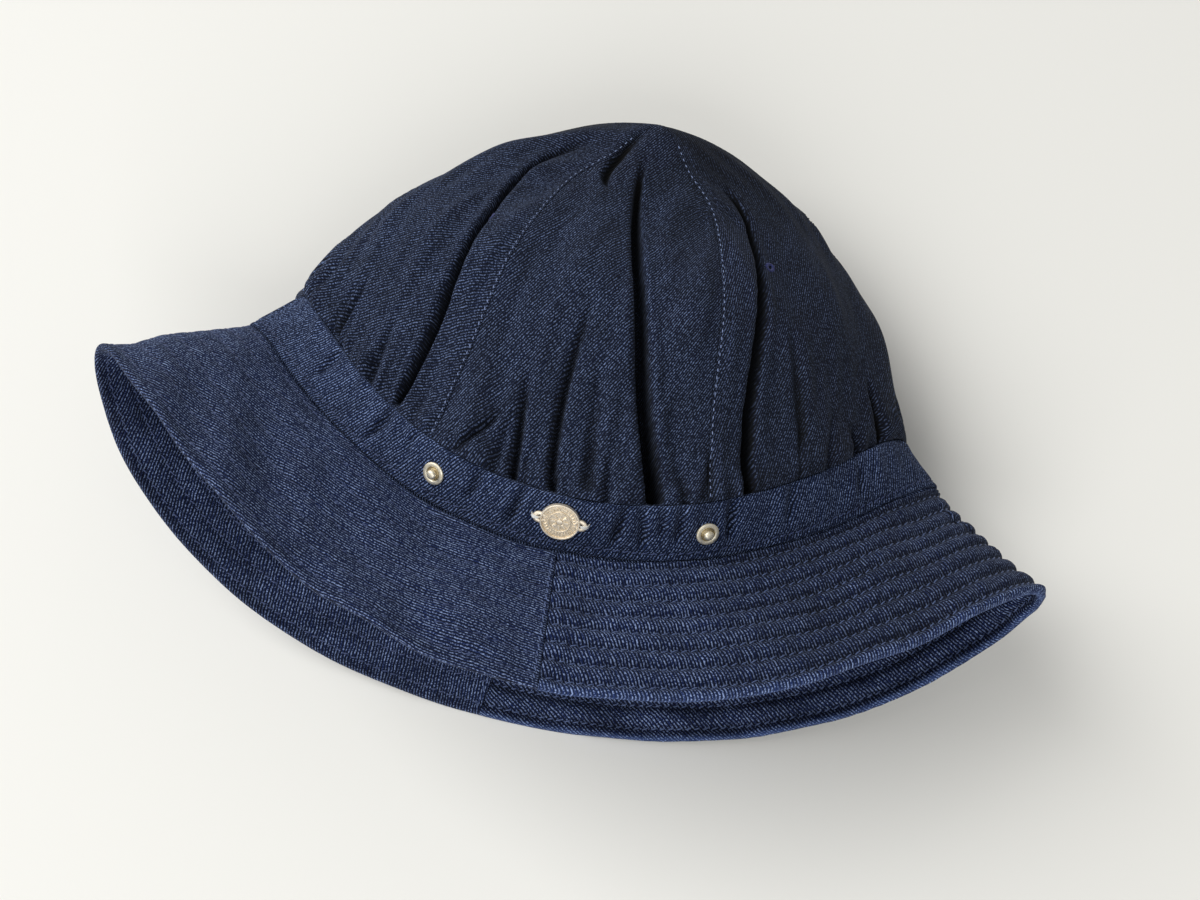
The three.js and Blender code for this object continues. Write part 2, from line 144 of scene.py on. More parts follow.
@dataclass
class HatShape:
    """The cloth's outer face without folds, seams or stitching."""

    seam_width: float = 257.0
    lying_depth: float = 156.0
    lying_height: float = 90.0
    brim_width: float = 58.0
    band_height: float = 20.5
    panel_length: float = 162.0
    floor_flat: float = 1.2
    fold_softness: float = 0.03
    fold_passes: int = 2
    pole_y: float = 0.835
    pole_z: float = 0.607
    shift: tuple[float, float, float] = (1.179, -21.463, 0.0)
    loop_steps: int = 360
    line_steps: int = 120
    azimuth_step: float = 0.5
    run_step: float = 1.0
    turn_spread: float = 8.0
    tip_reach: float = 16.0
    loops: dict[str, np.ndarray] = field(default_factory=dict)

    def __post_init__(self) -> None:
        """Works out the loops, the crown's curve and the direction that the pole faces."""
        self.top = self.band_height + self.panel_length
        self.pole = np.array([0.0, self.pole_y * self.lying_depth, self.pole_z * self.lying_height])
        for name, place in PLACES.items():
            self.loops[name] = self._even_loop(place, BENDS.get(name, Bend()))
        self.curve = self._curve_weights()
        about = self.plain_normals(np.arange(0.0, 360.0, 60.0), np.array([self.top - self.tip_reach / 2]))
        self.pole_normal = unit(about.sum(axis=(0, 1)))

    def _even_loop(self, place: Place, bend: Bend) -> np.ndarray:
        """Lays out one loop, rounds its side folds and spaces its points evenly.

        Args:
            place: Where the loop lies.
            bend: How it bends.

        Returns:
            One point for each degree of azimuth.
        """
        angle = np.radians(bend.turn + np.arange(self.loop_steps + 1) * 360.0 / self.loop_steps)
        across = np.sin(angle)
        front = np.maximum(np.cos(angle), 0.0)
        back = np.maximum(-np.cos(angle), 0.0)
        x = place.half_width * np.sign(across) * np.abs(across) ** bend.sides
        y = (
            place.side_y
            + bend.lean * across
            + (place.front_y - place.side_y) * front**bend.front_y
            + (place.back_y - place.side_y) * back**bend.back_y
            + (bend.front_skew * front + bend.back_skew * back) * across
        )
        z = (
            place.side_z
            + (place.front_z - place.side_z) * front**bend.front_z
            + (place.back_z - place.side_z) * back**bend.back_z
        )
        raw = np.stack([x * self.seam_width, y * self.lying_depth, z * self.lying_height], axis=1)
        points = evenly(raw, self.loop_steps)[:-1]
        reach = round(self.fold_softness * self.loop_steps)
        for _ in range(self.fold_passes):
            points = np.mean([np.roll(points, k, axis=0) for k in range(-reach, reach + 1)], axis=0)
        return evenly(np.vstack([points, points[:1]]), self.loop_steps)[:-1]

    def _curve_weights(self) -> np.ndarray:
        """How much each of a crown line's eight guide points weighs along the smooth curve through them."""
        guides, tension = 7, 0.5
        weights = np.zeros((self.line_steps + 1, guides + 1))
        for i in range(self.line_steps + 1):
            place = (guides - 2) * i / self.line_steps
            segment = min(int(place), guides - 3)
            t = place - segment
            hold_start = 2 * t**3 - 3 * t**2 + 1
            leave = t**3 - 2 * t**2 + t
            arrive = t**3 - t**2
            weights[i, segment + 1] += hold_start
            weights[i, segment + 2] += 1 - hold_start
            weights[i, segment] -= tension * leave
            weights[i, segment + 2] += tension * leave
            weights[i, segment + 1] -= tension * arrive
            weights[i, segment + 3] += tension * arrive
        return weights

    def loop_at(self, name: str, azimuths: np.ndarray) -> np.ndarray:
        """Reads a loop smoothly between its points.

        Args:
            name: The loop's name.
            azimuths: Degrees round the hat.

        Returns:
            One point for each azimuth.
        """
        loop = self.loops[name]
        place = np.mod(azimuths, 360.0)
        low = np.floor(place).astype(int)
        t = (place - low)[:, None]
        before, start, end, after = (loop[(low + k) % self.loop_steps] for k in (-1, 0, 1, 2))
        return (
            start
            + 0.5 * t * (end - before)
            + t**2 * (before - 2.5 * start + 2 * end - 0.5 * after)
            + 0.5 * t**3 * (3 * (start - end) + after - before)
        )

    def _from_foot(self, name: str, azimuths: np.ndarray, lengths: np.ndarray) -> np.ndarray:
        """Points reached from the band's foot towards another loop.

        Args:
            name: The loop that the cloth runs towards.
            azimuths: Degrees round the hat.
            lengths: Millimetres along the cloth.

        Returns:
            A grid of points, azimuths by lengths.
        """
        foot = self.loop_at("band_foot", azimuths)
        way = unit(self.loop_at(name, azimuths) - foot)
        return foot[:, None] + way[:, None] * lengths[None, :, None]

    def _crown(self, azimuths: np.ndarray, shares: np.ndarray) -> np.ndarray:
        """Points on the crown.

        Args:
            azimuths: Degrees round the hat.
            shares: Shares of the way from the band to the pole.

        Returns:
            A grid of points, azimuths by shares.
        """
        start = self._from_foot("band_top", azimuths, np.array([self.band_height]))[:, 0]
        names = ("crown_low", "crown_middle", "crown_high", "crown_tip")
        rows = [self.loop_at(name, azimuths) for name in names]
        pole = np.broadcast_to(self.pole, start.shape)
        guides = [2 * start - rows[0], start, *rows, pole, self.loop_at("crown_tip", azimuths + 180.0)]
        lines = np.einsum("sk,knc->nsc", self.curve, np.array(guides))
        steps = np.linalg.norm(np.diff(lines, axis=1), axis=2)
        lengths = np.concatenate([np.zeros((len(lines), 1)), np.cumsum(steps, axis=1)], axis=1)
        grid = np.zeros((len(azimuths), len(shares), 3))
        for i, line in enumerate(lines):
            wanted = np.clip(shares, 0.0, 1.0) * lengths[i, -1]
            for k in range(3):
                grid[i, :, k] = np.interp(wanted, lengths[i], line[:, k])
        return grid

    def points(self, azimuths: np.ndarray, runs: np.ndarray) -> np.ndarray:
        """The smooth outer face.

        Args:
            azimuths: Degrees round the hat.
            runs: Millimetres up from the band's foot.

        Returns:
            A grid of points, azimuths by runs.
        """
        azimuths, runs = np.asarray(azimuths, float), np.asarray(runs, float)
        grid = np.zeros((len(azimuths), len(runs), 3))
        brim, crown = runs <= 0.0, runs > self.band_height
        band = ~brim & ~crown
        if brim.any():
            grid[:, brim] = self._from_foot("brim_edge", azimuths, -runs[brim])
        if band.any():
            grid[:, band] = self._from_foot("band_top", azimuths, runs[band])
        if crown.any():
            grid[:, crown] = self._crown(azimuths, (runs[crown] - self.band_height) / self.panel_length)
        return grid

    def around(self, azimuths: np.ndarray, runs: np.ndarray) -> np.ndarray:
        """The step round the hat over one degree, at each place of the grid."""
        step = self.azimuth_step
        return (self.points(azimuths + step, runs) - self.points(azimuths - step, runs)) / (2 * step)

    def plain_normals(self, azimuths: np.ndarray, runs: np.ndarray) -> np.ndarray:
        """The smooth face's own outward directions, at each place of the grid."""
        upper = np.minimum(runs + self.run_step, self.top)
        lower = np.maximum(runs - self.run_step, -self.brim_width)
        upward = self.points(azimuths, upper) - self.points(azimuths, lower)
        return unit(np.cross(self.around(azimuths, runs), upward))

    def wall_normals(self, azimuths: np.ndarray, runs: np.ndarray) -> np.ndarray:
        """Outward directions that turn evenly round the side folds and all agree near the pole.

        Args:
            azimuths: Degrees round the hat.
            runs: Millimetres up from the band's foot.

        Returns:
            A grid of unit vectors, azimuths by runs.
        """
        spreads = (-self.turn_spread, 0.0, self.turn_spread)
        normals = unit(sum(self.plain_normals(azimuths + spread, runs) for spread in spreads))
        share = smooth_rise(runs, self.top - self.tip_reach, self.top - self.tip_reach / 4)[None, :, None]
        return unit(normals * (1 - share) + self.pole_normal * share)

    def rest(self, points: np.ndarray) -> np.ndarray:
        """The same points let down on the floor, and pressed flat where they would sink into it."""
        lowered = points - np.array([0.0, 0.0, self.floor_flat])
        lowered[..., 2] = np.maximum(lowered[..., 2], 0.0)
        return lowered


SHAPE = HatShape()


@dataclass(frozen=True)
class Crease:
    """A fold sunk into the cloth: azimuths at its low and high end and the bow between them in degrees, its
    ends as runs above the band's foot, depth and half width in millimetres, how high its lips stand, the
    share of its length over which it deepens, how much narrower it is at its high end, and how flat its
    bottom is. The last four say how its walls and lips run, in half widths from its middle."""

    low_azimuth: float
    high_azimuth: float
    bow: float
    low: float
    high: float
    depth: float
    width: float
    lips: float = 0.0
    foot: float = 0.12
    narrowing: float = 0.35
    flat: float = 0.15
    steep_share: float = 0.85
    slope_reach: float = 2.6
    lip_middle: float = 1.7
    lip_reach: float = 0.8

    def sink(self, azimuths: np.ndarray, runs: np.ndarray, scale: np.ndarray) -> np.ndarray:
        """How far the fold sinks the cloth.

        Args:
            azimuths: Degrees round the hat, one for each column.
            runs: Millimetres up from the band's foot, one for each row.
            scale: Millimetres per degree, at each place of the grid.

        Returns:
            Millimetres inwards, at each place of the grid.
        """
        along = (runs - self.low) / (self.high - self.low)
        inside = (along >= 0.0) & (along <= 1.0)
        k = np.clip(along, 0.0, 1.0)
        middle = self.low_azimuth + (self.high_azimuth - self.low_azimuth) * k + self.bow * 4 * k * (1 - k)
        off = np.mod(azimuths[:, None] - middle[None, :] + 180.0, 360.0) - 180.0
        across = np.abs(off) * scale / (self.width * (1 - self.narrowing * k))
        fade = smooth_rise(k, 0.0, self.foot) * (1 - k**3) * inside
        slope = (1 - self.steep_share) * bell(across, self.slope_reach)
        valley = self.steep_share * (1 - smooth_rise(across, self.flat, 1.0)) + slope
        lips = bell(across - self.lip_middle, self.lip_reach)
        return fade[None, :] * (self.depth * valley - self.lips * lips)


def crown_run(share: float) -> float:
    """The run at a share of the way from the band to the pole."""
    return SHAPE.band_height + share * SHAPE.panel_length


CROWN_FOLDS = (
    Crease(19.5, -5, 1.0, crown_run(0.0), crown_run(0.88), 14.0, 3.1, 1.5, 0.04, 0.45, 0.4),
    Crease(39.4, 47.2, -1.6, crown_run(-0.01), crown_run(0.78), 13.0, 2.6, 1.3, 0.03, 0.3, 0.4),
    Crease(-42, -56, 5.2, crown_run(0.0), crown_run(0.84), 8.0, 1.9, 1.2, 0.05, -0.3, 0.3),
    Crease(-2.2, -4, -2, crown_run(0.0), crown_run(0.44), 5.0, 2.2, 0.9, 0.06, 0.2),
    Crease(-10.6, -14.6, 0, crown_run(0.0), crown_run(0.24), 4.4, 2.2, 0.8, 0.06, 0.2),
    Crease(-11.5, -26, -6.5, crown_run(0.73), crown_run(0.97), 4.0, 2.5, 0.9, 0.25, 0.0),
    Crease(-84, -90, 0, crown_run(0.42), crown_run(1.0), 4.0, 15.0, 0.0, 0.5, 0.2),
    Crease(54, 50, 0, crown_run(0.04), crown_run(0.36), 2.2, 3.0, 0.4, 0.2),
    Crease(79, 75, 0, crown_run(0.0), crown_run(0.16), 3.0, 2.6, 0.6, 0.08),
    Crease(-68, -66, 0, crown_run(0.0), crown_run(0.16), 3.0, 2.6, 0.6, 0.08),
    Crease(-24, -17, 0, crown_run(0.0), crown_run(0.14), 3.0, 2.4, 0.5, 0.08),
    Crease(5, 2, 0, crown_run(0.0), crown_run(0.3), 2.6, 3.6, 0.5, 0.1),
    Crease(29, 31, 0, crown_run(0.0), crown_run(0.12), 2.0, 2.4, 0.4, 0.1),
    Crease(122, 117, 3, crown_run(0.0), crown_run(0.45), 3.0, 5.0, 0.5, 0.1),
    Crease(-127, -120, 3, crown_run(0.0), crown_run(0.4), 3.0, 5.0, 0.5, 0.1),
)
BAND_PUCKERS = (
    Crease(-11.0, -7.3, 0, 2.0, 22.0, 2.6, 1.9, 0.6, 0.3, -0.3),
    Crease(10.0, 13.4, 0, 3.0, 22.0, 2.8, 1.8, 0.6, 0.3, -0.3),
    Crease(16.4, 16.0, 0, 3.0, 22.0, 2.2, 1.7, 0.5, 0.3, -0.3),
    Crease(20.0, 20.6, 0, 8.0, 22.0, 1.8, 1.7, 0.4, 0.3, -0.3),
    Crease(23.0, 24.7, 0, 6.0, 22.0, 2.0, 1.7, 0.4, 0.3, -0.3),
    Crease(34.0, 36.0, 0, 4.0, 22.0, 3.0, 1.8, 0.7, 0.3, -0.3),
    Crease(-46.0, -41.0, 0, 3.0, 22.0, 2.2, 2.0, 0.5, 0.3, -0.3),
    Crease(-36.0, -33.0, 0, 9.0, 22.0, 1.5, 1.8, 0.3, 0.3, -0.3),
    Crease(47.0, 51.0, 0, 5.0, 22.0, 1.5, 1.8, 0.3, 0.3, -0.3),
    Crease(-20.0, -17.0, 0, 5.0, 22.0, 2.0, 1.8, 0.4, 0.3, -0.3),
    Crease(66.0, 70.0, 0, 5.0, 22.0, 1.5, 2.0, 0.3, 0.3, -0.3),
    Crease(-66.0, -62.0, 0, 5.0, 22.0, 1.6, 2.0, 0.3, 0.3, -0.3),
)


# Azimuths, and heights as shares of the band's.
STUD_PLACES = {"snap_stud_left": (-27.5, 0.5), "snap_stud_right": (29.5, 0.46)}
BADGE_PLACE = (0.0, 0.56)


@dataclass(frozen=True)
class Ripples:
    """Soft unevenness of handled cloth: waves of many directions added up, from a fixed seed."""

    seed: int
    height: float
    longest: float
    shortest: float
    stretch: float = 1.0
    count: int = 14

    def at(self, u: np.ndarray, v: np.ndarray) -> np.ndarray:
        """How far the cloth stands out.

        Args:
            u: Millimetres round the hat.
            v: Millimetres up the panel.

        Returns:
            Millimetres outwards, at each place.
        """
        chance = np.random.default_rng(self.seed)
        total = np.zeros(np.broadcast(u, v).shape)
        for _ in range(self.count):
            length = math.exp(chance.uniform(math.log(self.shortest), math.log(self.longest)))
            angle = chance.uniform(0.0, 2 * math.pi)
            phase = chance.uniform(0.0, 2 * math.pi)
            along = u * math.cos(angle) + v * math.sin(angle) / self.stretch
            total += np.sin(2 * math.pi * along / length + phase)
        return self.height * total / math.sqrt(self.count / 2)


class Side(Enum):
    """The two faces of a piece of cloth."""

    OUTER = 1.0
    INNER = -1.0


def marks_between(low: float, high: float, step: float, edge: float, edges: tuple[float, ...]) -> np.ndarray:
    """Positions along a cloth wall: an even step inside, and close ones where its edge is rounded.

    Args:
        low: The first position.
        high: The last position.
        step: The even step.
        edge: The edge's radius, in the same unit.
        edges: Shares of the radius at which the rounding is drawn.

    Returns:
        The positions, rising.
    """
    near = np.array(edges) * edge
    count = max(2, round((high - low - 2 * edge) / step))
    inside = np.linspace(low + edge, high - edge, count + 1)
    return np.concatenate([low + near, inside, high - near[::-1]])


@dataclass
class ClothWall:
    """A wall of cloth between two azimuths and two runs, with rounded edges and its two faces. Its grids hold
    one row of points for each azimuth and one column for each run."""

    name: str
    start: float
    end: float
    low: float
    high: float
    cloth: float
    step: float = 0.9
    grain: float = 0.0
    flare: bool = False
    run_step: float = 0.0
    seam_gap: float = 0.3
    edge_radius: float = 0.7
    seam_radius: float = 0.3
    # Painted shading added to the inner face only: painted shade below zero, painted light above.
    inner_painted_shading: float = 0.0
    edge_marks: tuple[float, ...] = (0.0, 0.08, 0.3, 0.62)
    extra_azimuths: tuple[float, ...] = ()
    extra_runs: tuple[float, ...] = ()

    def lay_out(self) -> None:
        """Works out the positions, the smooth face and its directions."""
        widest = np.array([self.low if self.flare else (self.low + self.high) / 2])
        middle = np.array([(self.start + self.end) / 2])
        per_degree = float(np.linalg.norm(SHAPE.around(middle, widest)))
        self.closed = self.end - self.start >= FULL_TURN
        if self.closed:
            count = round(FULL_TURN * per_degree / self.step)
            azimuths = np.linspace(self.start, self.end, count + 1)[:-1]
        else:
            inset = self.seam_gap / 2 / per_degree
            step, edge = self.step / per_degree, self.seam_radius / per_degree
            azimuths = marks_between(self.start + inset, self.end - inset, step, edge, self.edge_marks)
        run_step = self.run_step or self.step
        runs = marks_between(self.low, self.high, run_step, self.edge_radius, self.edge_marks)
        self.azimuths = np.unique(np.concatenate([azimuths, self.extra_azimuths]))
        self.runs = np.unique(np.concatenate([runs, self.extra_runs]))
        self.smooth = SHAPE.points(self.azimuths, self.runs)
        self.normals = SHAPE.wall_normals(self.azimuths, self.runs)
        self.scale = np.linalg.norm(SHAPE.around(self.azimuths, self.runs), axis=2)
        self.stand_out = np.zeros(self.scale.shape)
        self.puff = np.ones(self.scale.shape)
        # Real wear above zero, painted shade below zero.
        self.wear_and_painted_shading = np.zeros(self.scale.shape)

    def edge_shares(self) -> list[np.ndarray]:
        """The share of its thickness that the cloth has near its low, high, first and last edge."""
        across = self.azimuths[:, None] * self.scale
        ones = np.ones(self.scale.shape)
        apart = [off / self.edge_radius * ones for off in (self.runs - self.low, self.high - self.runs)]
        if self.closed:
            apart += [ones, ones]
        else:
            apart += [off / self.seam_radius for off in (across - across[0], across[-1] - across)]
        return [np.sqrt(1 - (1 - np.clip(away, 0.0, 1.0)) ** 2) for away in apart]

    def shape_faces(self) -> None:
        """Sets both faces from the stand-out, the thickness and the rounded edges."""
        middle = self.smooth + self.normals * (self.stand_out - self.cloth / 2)[..., None]
        thick = self.cloth * np.min(self.edge_shares(), axis=0) * self.puff
        half = self.normals * (thick / 2)[..., None]
        self.outer = SHAPE.rest(middle + half)
        self.inner = SHAPE.rest(middle - half)

    def flat_pattern(self) -> np.ndarray:
        """Where each place lies on the flat cloth that the piece was cut from, turned so that the twill's
        ribs run along its second axis.

        Returns:
            A grid of flat positions in metres.
        """
        middle = (self.start + self.end) / 2
        # The cloth also covers its own edges, by half its thickness.
        at_low, at_high, at_first, at_last = (self.cloth / 2 * (share - 1) for share in self.edge_shares())
        runs = self.runs[None, :] + at_low - at_high
        over = at_first - at_last
        off = (self.azimuths - middle)[:, None]
        if self.flare:
            foot = self.scale[:, -1].mean() * (self.end - self.start)
            rim = self.scale[:, 0].mean() * (self.end - self.start)
            spread = (rim - foot) / (self.high - self.low)
            radius = foot / spread
            out = radius - runs
            turn = off * spread / (self.end - self.start) + over / out
            u, v = out * np.sin(turn), radius - out * np.cos(turn)
        elif self.closed:
            u, v = off * self.scale.mean() + over, runs
        else:
            # A tapering panel: its cross lines curve so that they stay square to its length.
            u = off * self.scale + over
            v = runs - off**2 * self.scale * np.gradient(self.scale, self.runs, axis=1) / 2
        angle = math.radians(self.grain)
        turned = [u * math.sin(angle) - v * math.cos(angle), u * math.cos(angle) + v * math.sin(angle)]
        return np.stack(turned, axis=-1) * MM

    def at(self, azimuths: np.ndarray, runs: np.ndarray, side: Side) -> tuple[np.ndarray, np.ndarray]:
        """Reads a face between its grid points.

        Args:
            azimuths: Degrees round the hat.
            runs: Millimetres up from the band's foot, one for each azimuth.
            side: Which face.

        Returns:
            The points and the outward directions there.
        """
        face = self.outer if side is Side.OUTER else self.inner
        columns = np.interp(azimuths, self.azimuths, np.arange(len(self.azimuths)))
        rows = np.interp(runs, self.runs, np.arange(len(self.runs)))
        i = np.minimum(columns.astype(int), len(self.azimuths) - 2)
        j = np.minimum(rows.astype(int), len(self.runs) - 2)
        a, b = (columns - i)[:, None], (rows - j)[:, None]
        near, far = (face[k, j] * (1 - b) + face[k, j + 1] * b for k in (i, i + 1))
        upward = face[i, j + 1] - face[i, j]
        outward = unit(np.cross(far - near, upward))
        return near * (1 - a) + far * a, outward * side.value

    def build(self) -> bpy.types.Object:
        """Makes the closed mesh: the two faces share the vertices of their rim.

        Returns:
            The new object, with its flat pattern, its wear and its painted shading on it.
        """
        n, m = self.scale.shape
        inner_index = np.arange(n * m).reshape(n, m).copy()
        rim = np.zeros((n, m), bool)
        rim[:, [0, -1]] = True
        if not self.closed:
            rim[[0, -1], :] = True
        inner_index[~rim] = n * m + np.arange((~rim).sum())
        outer_index = np.arange(n * m).reshape(n, m)
        vertices = np.concatenate([self.outer.reshape(-1, 3), self.inner[~rim]])
        i = np.arange(n if self.closed else n - 1)[:, None]
        j = np.arange(m - 1)[None, :]
        corners = [(i, j), ((i + 1) % n, j), ((i + 1) % n, j + 1), (i, j + 1)]
        outside = np.stack([outer_index[a, b] for a, b in corners], axis=-1).reshape(-1, 4)
        inside = np.stack([inner_index[a, b] for a, b in reversed(corners)], axis=-1).reshape(-1, 4)
        pattern = self.flat_pattern()
        spots = np.stack([a * m + b + np.zeros_like(i + j) for a, b in corners], axis=-1).reshape(-1, 4)
        uv = pattern.reshape(-1, 2)[np.concatenate([spots, spots[:, ::-1]])]
        # The inner face also gets its own painted shading: painted shade below zero, painted light above.
        wear_and_painted_shading = np.concatenate([self.wear_and_painted_shading.reshape(-1), self.wear_and_painted_shading[~rim] + self.inner_painted_shading])
        made = mesh_object(self.name, vertices, np.concatenate([outside, inside]))
        layer = made.data.uv_layers.new(name="cloth")
        layer.data.foreach_set("uv", uv.reshape(-1).astype(np.float32))
        shade = made.data.attributes.new("wear_and_painted_shading", "FLOAT", "POINT")
        shade.data.foreach_set("value", wear_and_painted_shading.astype(np.float32))
        return made


def mesh_object(name: str, vertices: np.ndarray, faces: np.ndarray) -> bpy.types.Object:
    """Makes a smooth-shaded mesh object in the row frame.

    Args:
        name: The object's name.
        vertices: Points in millimetres, before the hat is moved over its origin.
        faces: Vertex numbers, one face a row.

    Returns:
        The new object, linked to the scene.
    """
    mesh = bpy.data.meshes.new(name)
    placed = (vertices + np.array(SHAPE.shift)) * MM
    size = faces.shape[1]
    mesh.vertices.add(len(placed))
    mesh.vertices.foreach_set("co", placed.astype(np.float32).reshape(-1))
    mesh.loops.add(faces.size)
    mesh.loops.foreach_set("vertex_index", faces.reshape(-1).astype(np.int32))
    mesh.polygons.add(len(faces))
    mesh.polygons.foreach_set("loop_start", np.arange(0, faces.size, size, dtype=np.int32))
    mesh.polygons.foreach_set("use_smooth", np.ones(len(faces), bool))
    mesh.update(calc_edges=True)
    mesh.validate()
    made = bpy.data.objects.new(name, mesh)
    bpy.context.scene.collection.objects.link(made)
    return made


def linear_colour(code: str) -> tuple[float, float, float, float]:
    """Turns an sRGB hex colour to the linear colour that a shader takes."""
    channels = [int(code[k : k + 2], 16) / 255 for k in (1, 3, 5)]
    linear = [c / 12.92 if c <= 0.04045 else ((c + 0.055) / 1.055) ** 2.4 for c in channels]
    return (*linear, 1.0)


Socket = bpy.types.NodeSocket


class Shading:
    """A new material, and the nodes that its colours and heights come from."""

    def __init__(self, name: str) -> None:
        """Starts the material with no nodes."""
        self.material = bpy.data.materials.new(name)
        self.material.use_nodes = True
        self.tree = self.material.node_tree
        self.tree.nodes.clear()

    def add(self, kind: str, inputs: dict | list, wanted: int | str = 0, **settings: object) -> Socket:
        """Adds a node with its settings, values and links.

        Args:
            kind: The node's type, such as TexNoise.
            inputs: What goes into its input sockets, by their names or numbers, or a list in their order: an
                output socket to link, or a value.
            wanted: Which output socket is used.
            settings: The node's own settings.

        Returns:
            The output socket.
        """
        made = self.tree.nodes.new(f"ShaderNode{kind}")
        for setting, value in settings.items():
            setattr(made, setting, value)
        for socket, source in inputs.items() if isinstance(inputs, dict) else enumerate(inputs):
            if isinstance(source, Socket):
                self.tree.links.new(source, made.inputs[socket])
            else:
                made.inputs[socket].default_value = source
        return made.outputs[wanted]

    def finish(self, inputs: dict) -> bpy.types.Material:
        """Gives the material its surface.

        Args:
            inputs: What goes into the surface's input sockets, by their names.

        Returns:
            The finished material.
        """
        surface = self.add("BsdfPrincipled", inputs)
        output = self.tree.nodes.new("ShaderNodeOutputMaterial")
        self.tree.links.new(surface, output.inputs["Surface"])
        return self.material


@dataclass(frozen=True)
class Denim:
    """Indigo cotton denim, woven as a twill and washed once: dark blue warp with painted shade at the feet of
    its ribs, the undyed weft showing as dotted pale diagonal lines, no gloss, a bluish tone where the cloth
    is rubbed
    and as painted light on the right brim half's inner face, and painted shade where its wear value is below
    zero:
    deep in its folds, puckers and stitched rows, and towards the right side and the crown's pole.

    Its sizes are in millimetres, and its scales in repeats for each metre of cloth.
    """

    name: str
    warp: str = "#08122b"
    # Painted shade at the feet of the ribs.
    shade: str = "#04070f"
    weft: str = "#8195c2"
    worn: str = "#3f5588"
    rib_spacing: float = 0.88
    weft_share: float = 0.5
    rib_height: float = 0.16
    sway_scale: float = 200.0
    sway_reach: float = 1.1
    dot_scale: tuple[float, float, float] = (1800.0, 1500.0, 1.0)
    streak_scale: tuple[float, float, float] = (1400.0, 50.0, 1.0)
    streak_turn: float = 30.0
    cloud_scale: float = 85.0

    def make(self) -> bpy.types.Material:
        """Builds the material on the cloth's flat pattern.

        Returns:
            The denim.
        """
        shading = Shading(self.name)
        add = shading.add
        codes = (self.warp, self.shade, self.weft, self.worn)
        warp, shade, weft, worn = (linear_colour(code) for code in codes)
        flat = add("UVMap", {}, uv_map="cloth")
        # Yarns wander by up to 0.3 mm over about 5 mm.
        sway = add("TexNoise", {"Vector": flat, "Scale": self.sway_scale, "Detail": 2.0}, "Color")
        off = add("VectorMath", [sway, (0.5, 0.5, 0.5)], operation="SUBTRACT")
        small = add("VectorMath", {0: off, "Scale": self.sway_reach * MM}, operation="SCALE")
        uneven = add("VectorMath", [flat, small], operation="ADD")
        # A wave texture's band repeats every pi / 10 of its scaled coordinate.
        wave = {"Vector": uneven, "Scale": math.pi / 10 / (self.rib_spacing * MM), "Distortion": 0.0}
        kind = {"wave_type": "BANDS", "bands_direction": "X", "wave_profile": "SIN"}
        ribs = add("TexWave", wave, "Fac", **kind)
        # Weft floats: pale dots about 0.7 mm apart along the ribs, uneven in brightness.
        dot_place = add("Mapping", {"Vector": uneven, "Scale": self.dot_scale})
        dots = add("TexNoise", {"Vector": dot_place, "Scale": 1.0, "Detail": 1.0})
        # Uneven yarn: warp streaks about 0.7 mm wide and 20 mm long, turned from the ribs.
        turn = (0.0, 0.0, math.radians(self.streak_turn))
        streak_place = add("Mapping", {"Vector": flat, "Rotation": turn, "Scale": self.streak_scale})
        streaks = add("TexNoise", {"Vector": streak_place, "Scale": 1.0, "Detail": 2.0})
        clouds = add("TexNoise", {"Vector": flat, "Scale": self.cloud_scale, "Detail": 4.0})
        # This value is real wear above zero and painted shade below zero, with painted light on the right
        # brim half's inner face.
        rubbed = add("Attribute", {}, "Fac", attribute_name="wear_and_painted_shading")
        # The cloth is lighter in some yarns and clouds, and painted shade darkens it where the wear value is
        # below zero.
        yarns = add("MapRange", [streaks, 0.3, 0.7, 0.72, 1.3])
        areas = add("MapRange", [clouds, 0.3, 0.7, 0.8, 1.22])
        folds = add("MapRange", [rubbed, -1.0, 0.0, 0.0, 1.0])
        tone_and_painted_shade = add("Math", [yarns, areas], operation="MULTIPLY")
        tone_and_painted_shade = add("Math", [tone_and_painted_shade, folds], operation="MULTIPLY")
        # The weft shows on top of the ribs, where a dot lies.
        rib_tops = add("MapRange", [ribs, 0.4, 0.85, 0.0, 1.0])
        floats = add("MapRange", [dots, 0.46, 0.62, 0.0, 1.0])
        shown = add("Math", [rib_tops, floats], operation="MULTIPLY")
        shown = add("Math", [shown, self.weft_share], operation="MULTIPLY")
        shown = add("Math", [shown, tone_and_painted_shade], operation="MULTIPLY", use_clamp=True)
        # Painted shade at the feet of the ribs: the ground goes from the shade colour there to the warp
        # colour on top.
        rib_feet = add("MapRange", [ribs, 0.0, 0.5, 0.0, 1.0])
        ground = add("Mix", {0: rib_feet, 6: shade, 7: warp}, 2, data_type="RGBA")
        ground = add("VectorMath", {0: ground, "Scale": tone_and_painted_shade}, operation="SCALE")
        cloth = add("Mix", {0: shown, 6: ground, 7: weft}, 2, data_type="RGBA")
        # Rubbing takes the dye off the raised yarns first, in patches.
        raised = add("MapRange", [dots, 0.3, 0.65, 0.25, 1.0])
        patches = add("MapRange", [clouds, 0.3, 0.7, 0.55, 1.2])
        patchy = add("Math", [raised, patches], operation="MULTIPLY")
        faded = add("MapRange", [rubbed, 0.0, 1.0, 0.0, 1.0])
        faded = add("Math", [faded, patchy], operation="MULTIPLY")
        colour = add("Mix", {0: faded, 6: cloth, 7: worn}, 2, data_type="RGBA")
        knobs = add("Math", [dots, 0.8], operation="MULTIPLY")
        height = add("Math", [ribs, knobs], operation="ADD")
        relief = add("Bump", {"Height": height, "Strength": 0.9, "Distance": self.rib_height * MM})
        inputs = {
            "Base Color": colour,
            "Roughness": 0.92,
            "Specular IOR Level": 0.2,
            "Sheen Weight": 0.08,
            "Sheen Roughness": 0.5,
            "Sheen Tint": linear_colour("#a9b8d8"),
            "Normal": relief,
        }
        return shading.finish(inputs)


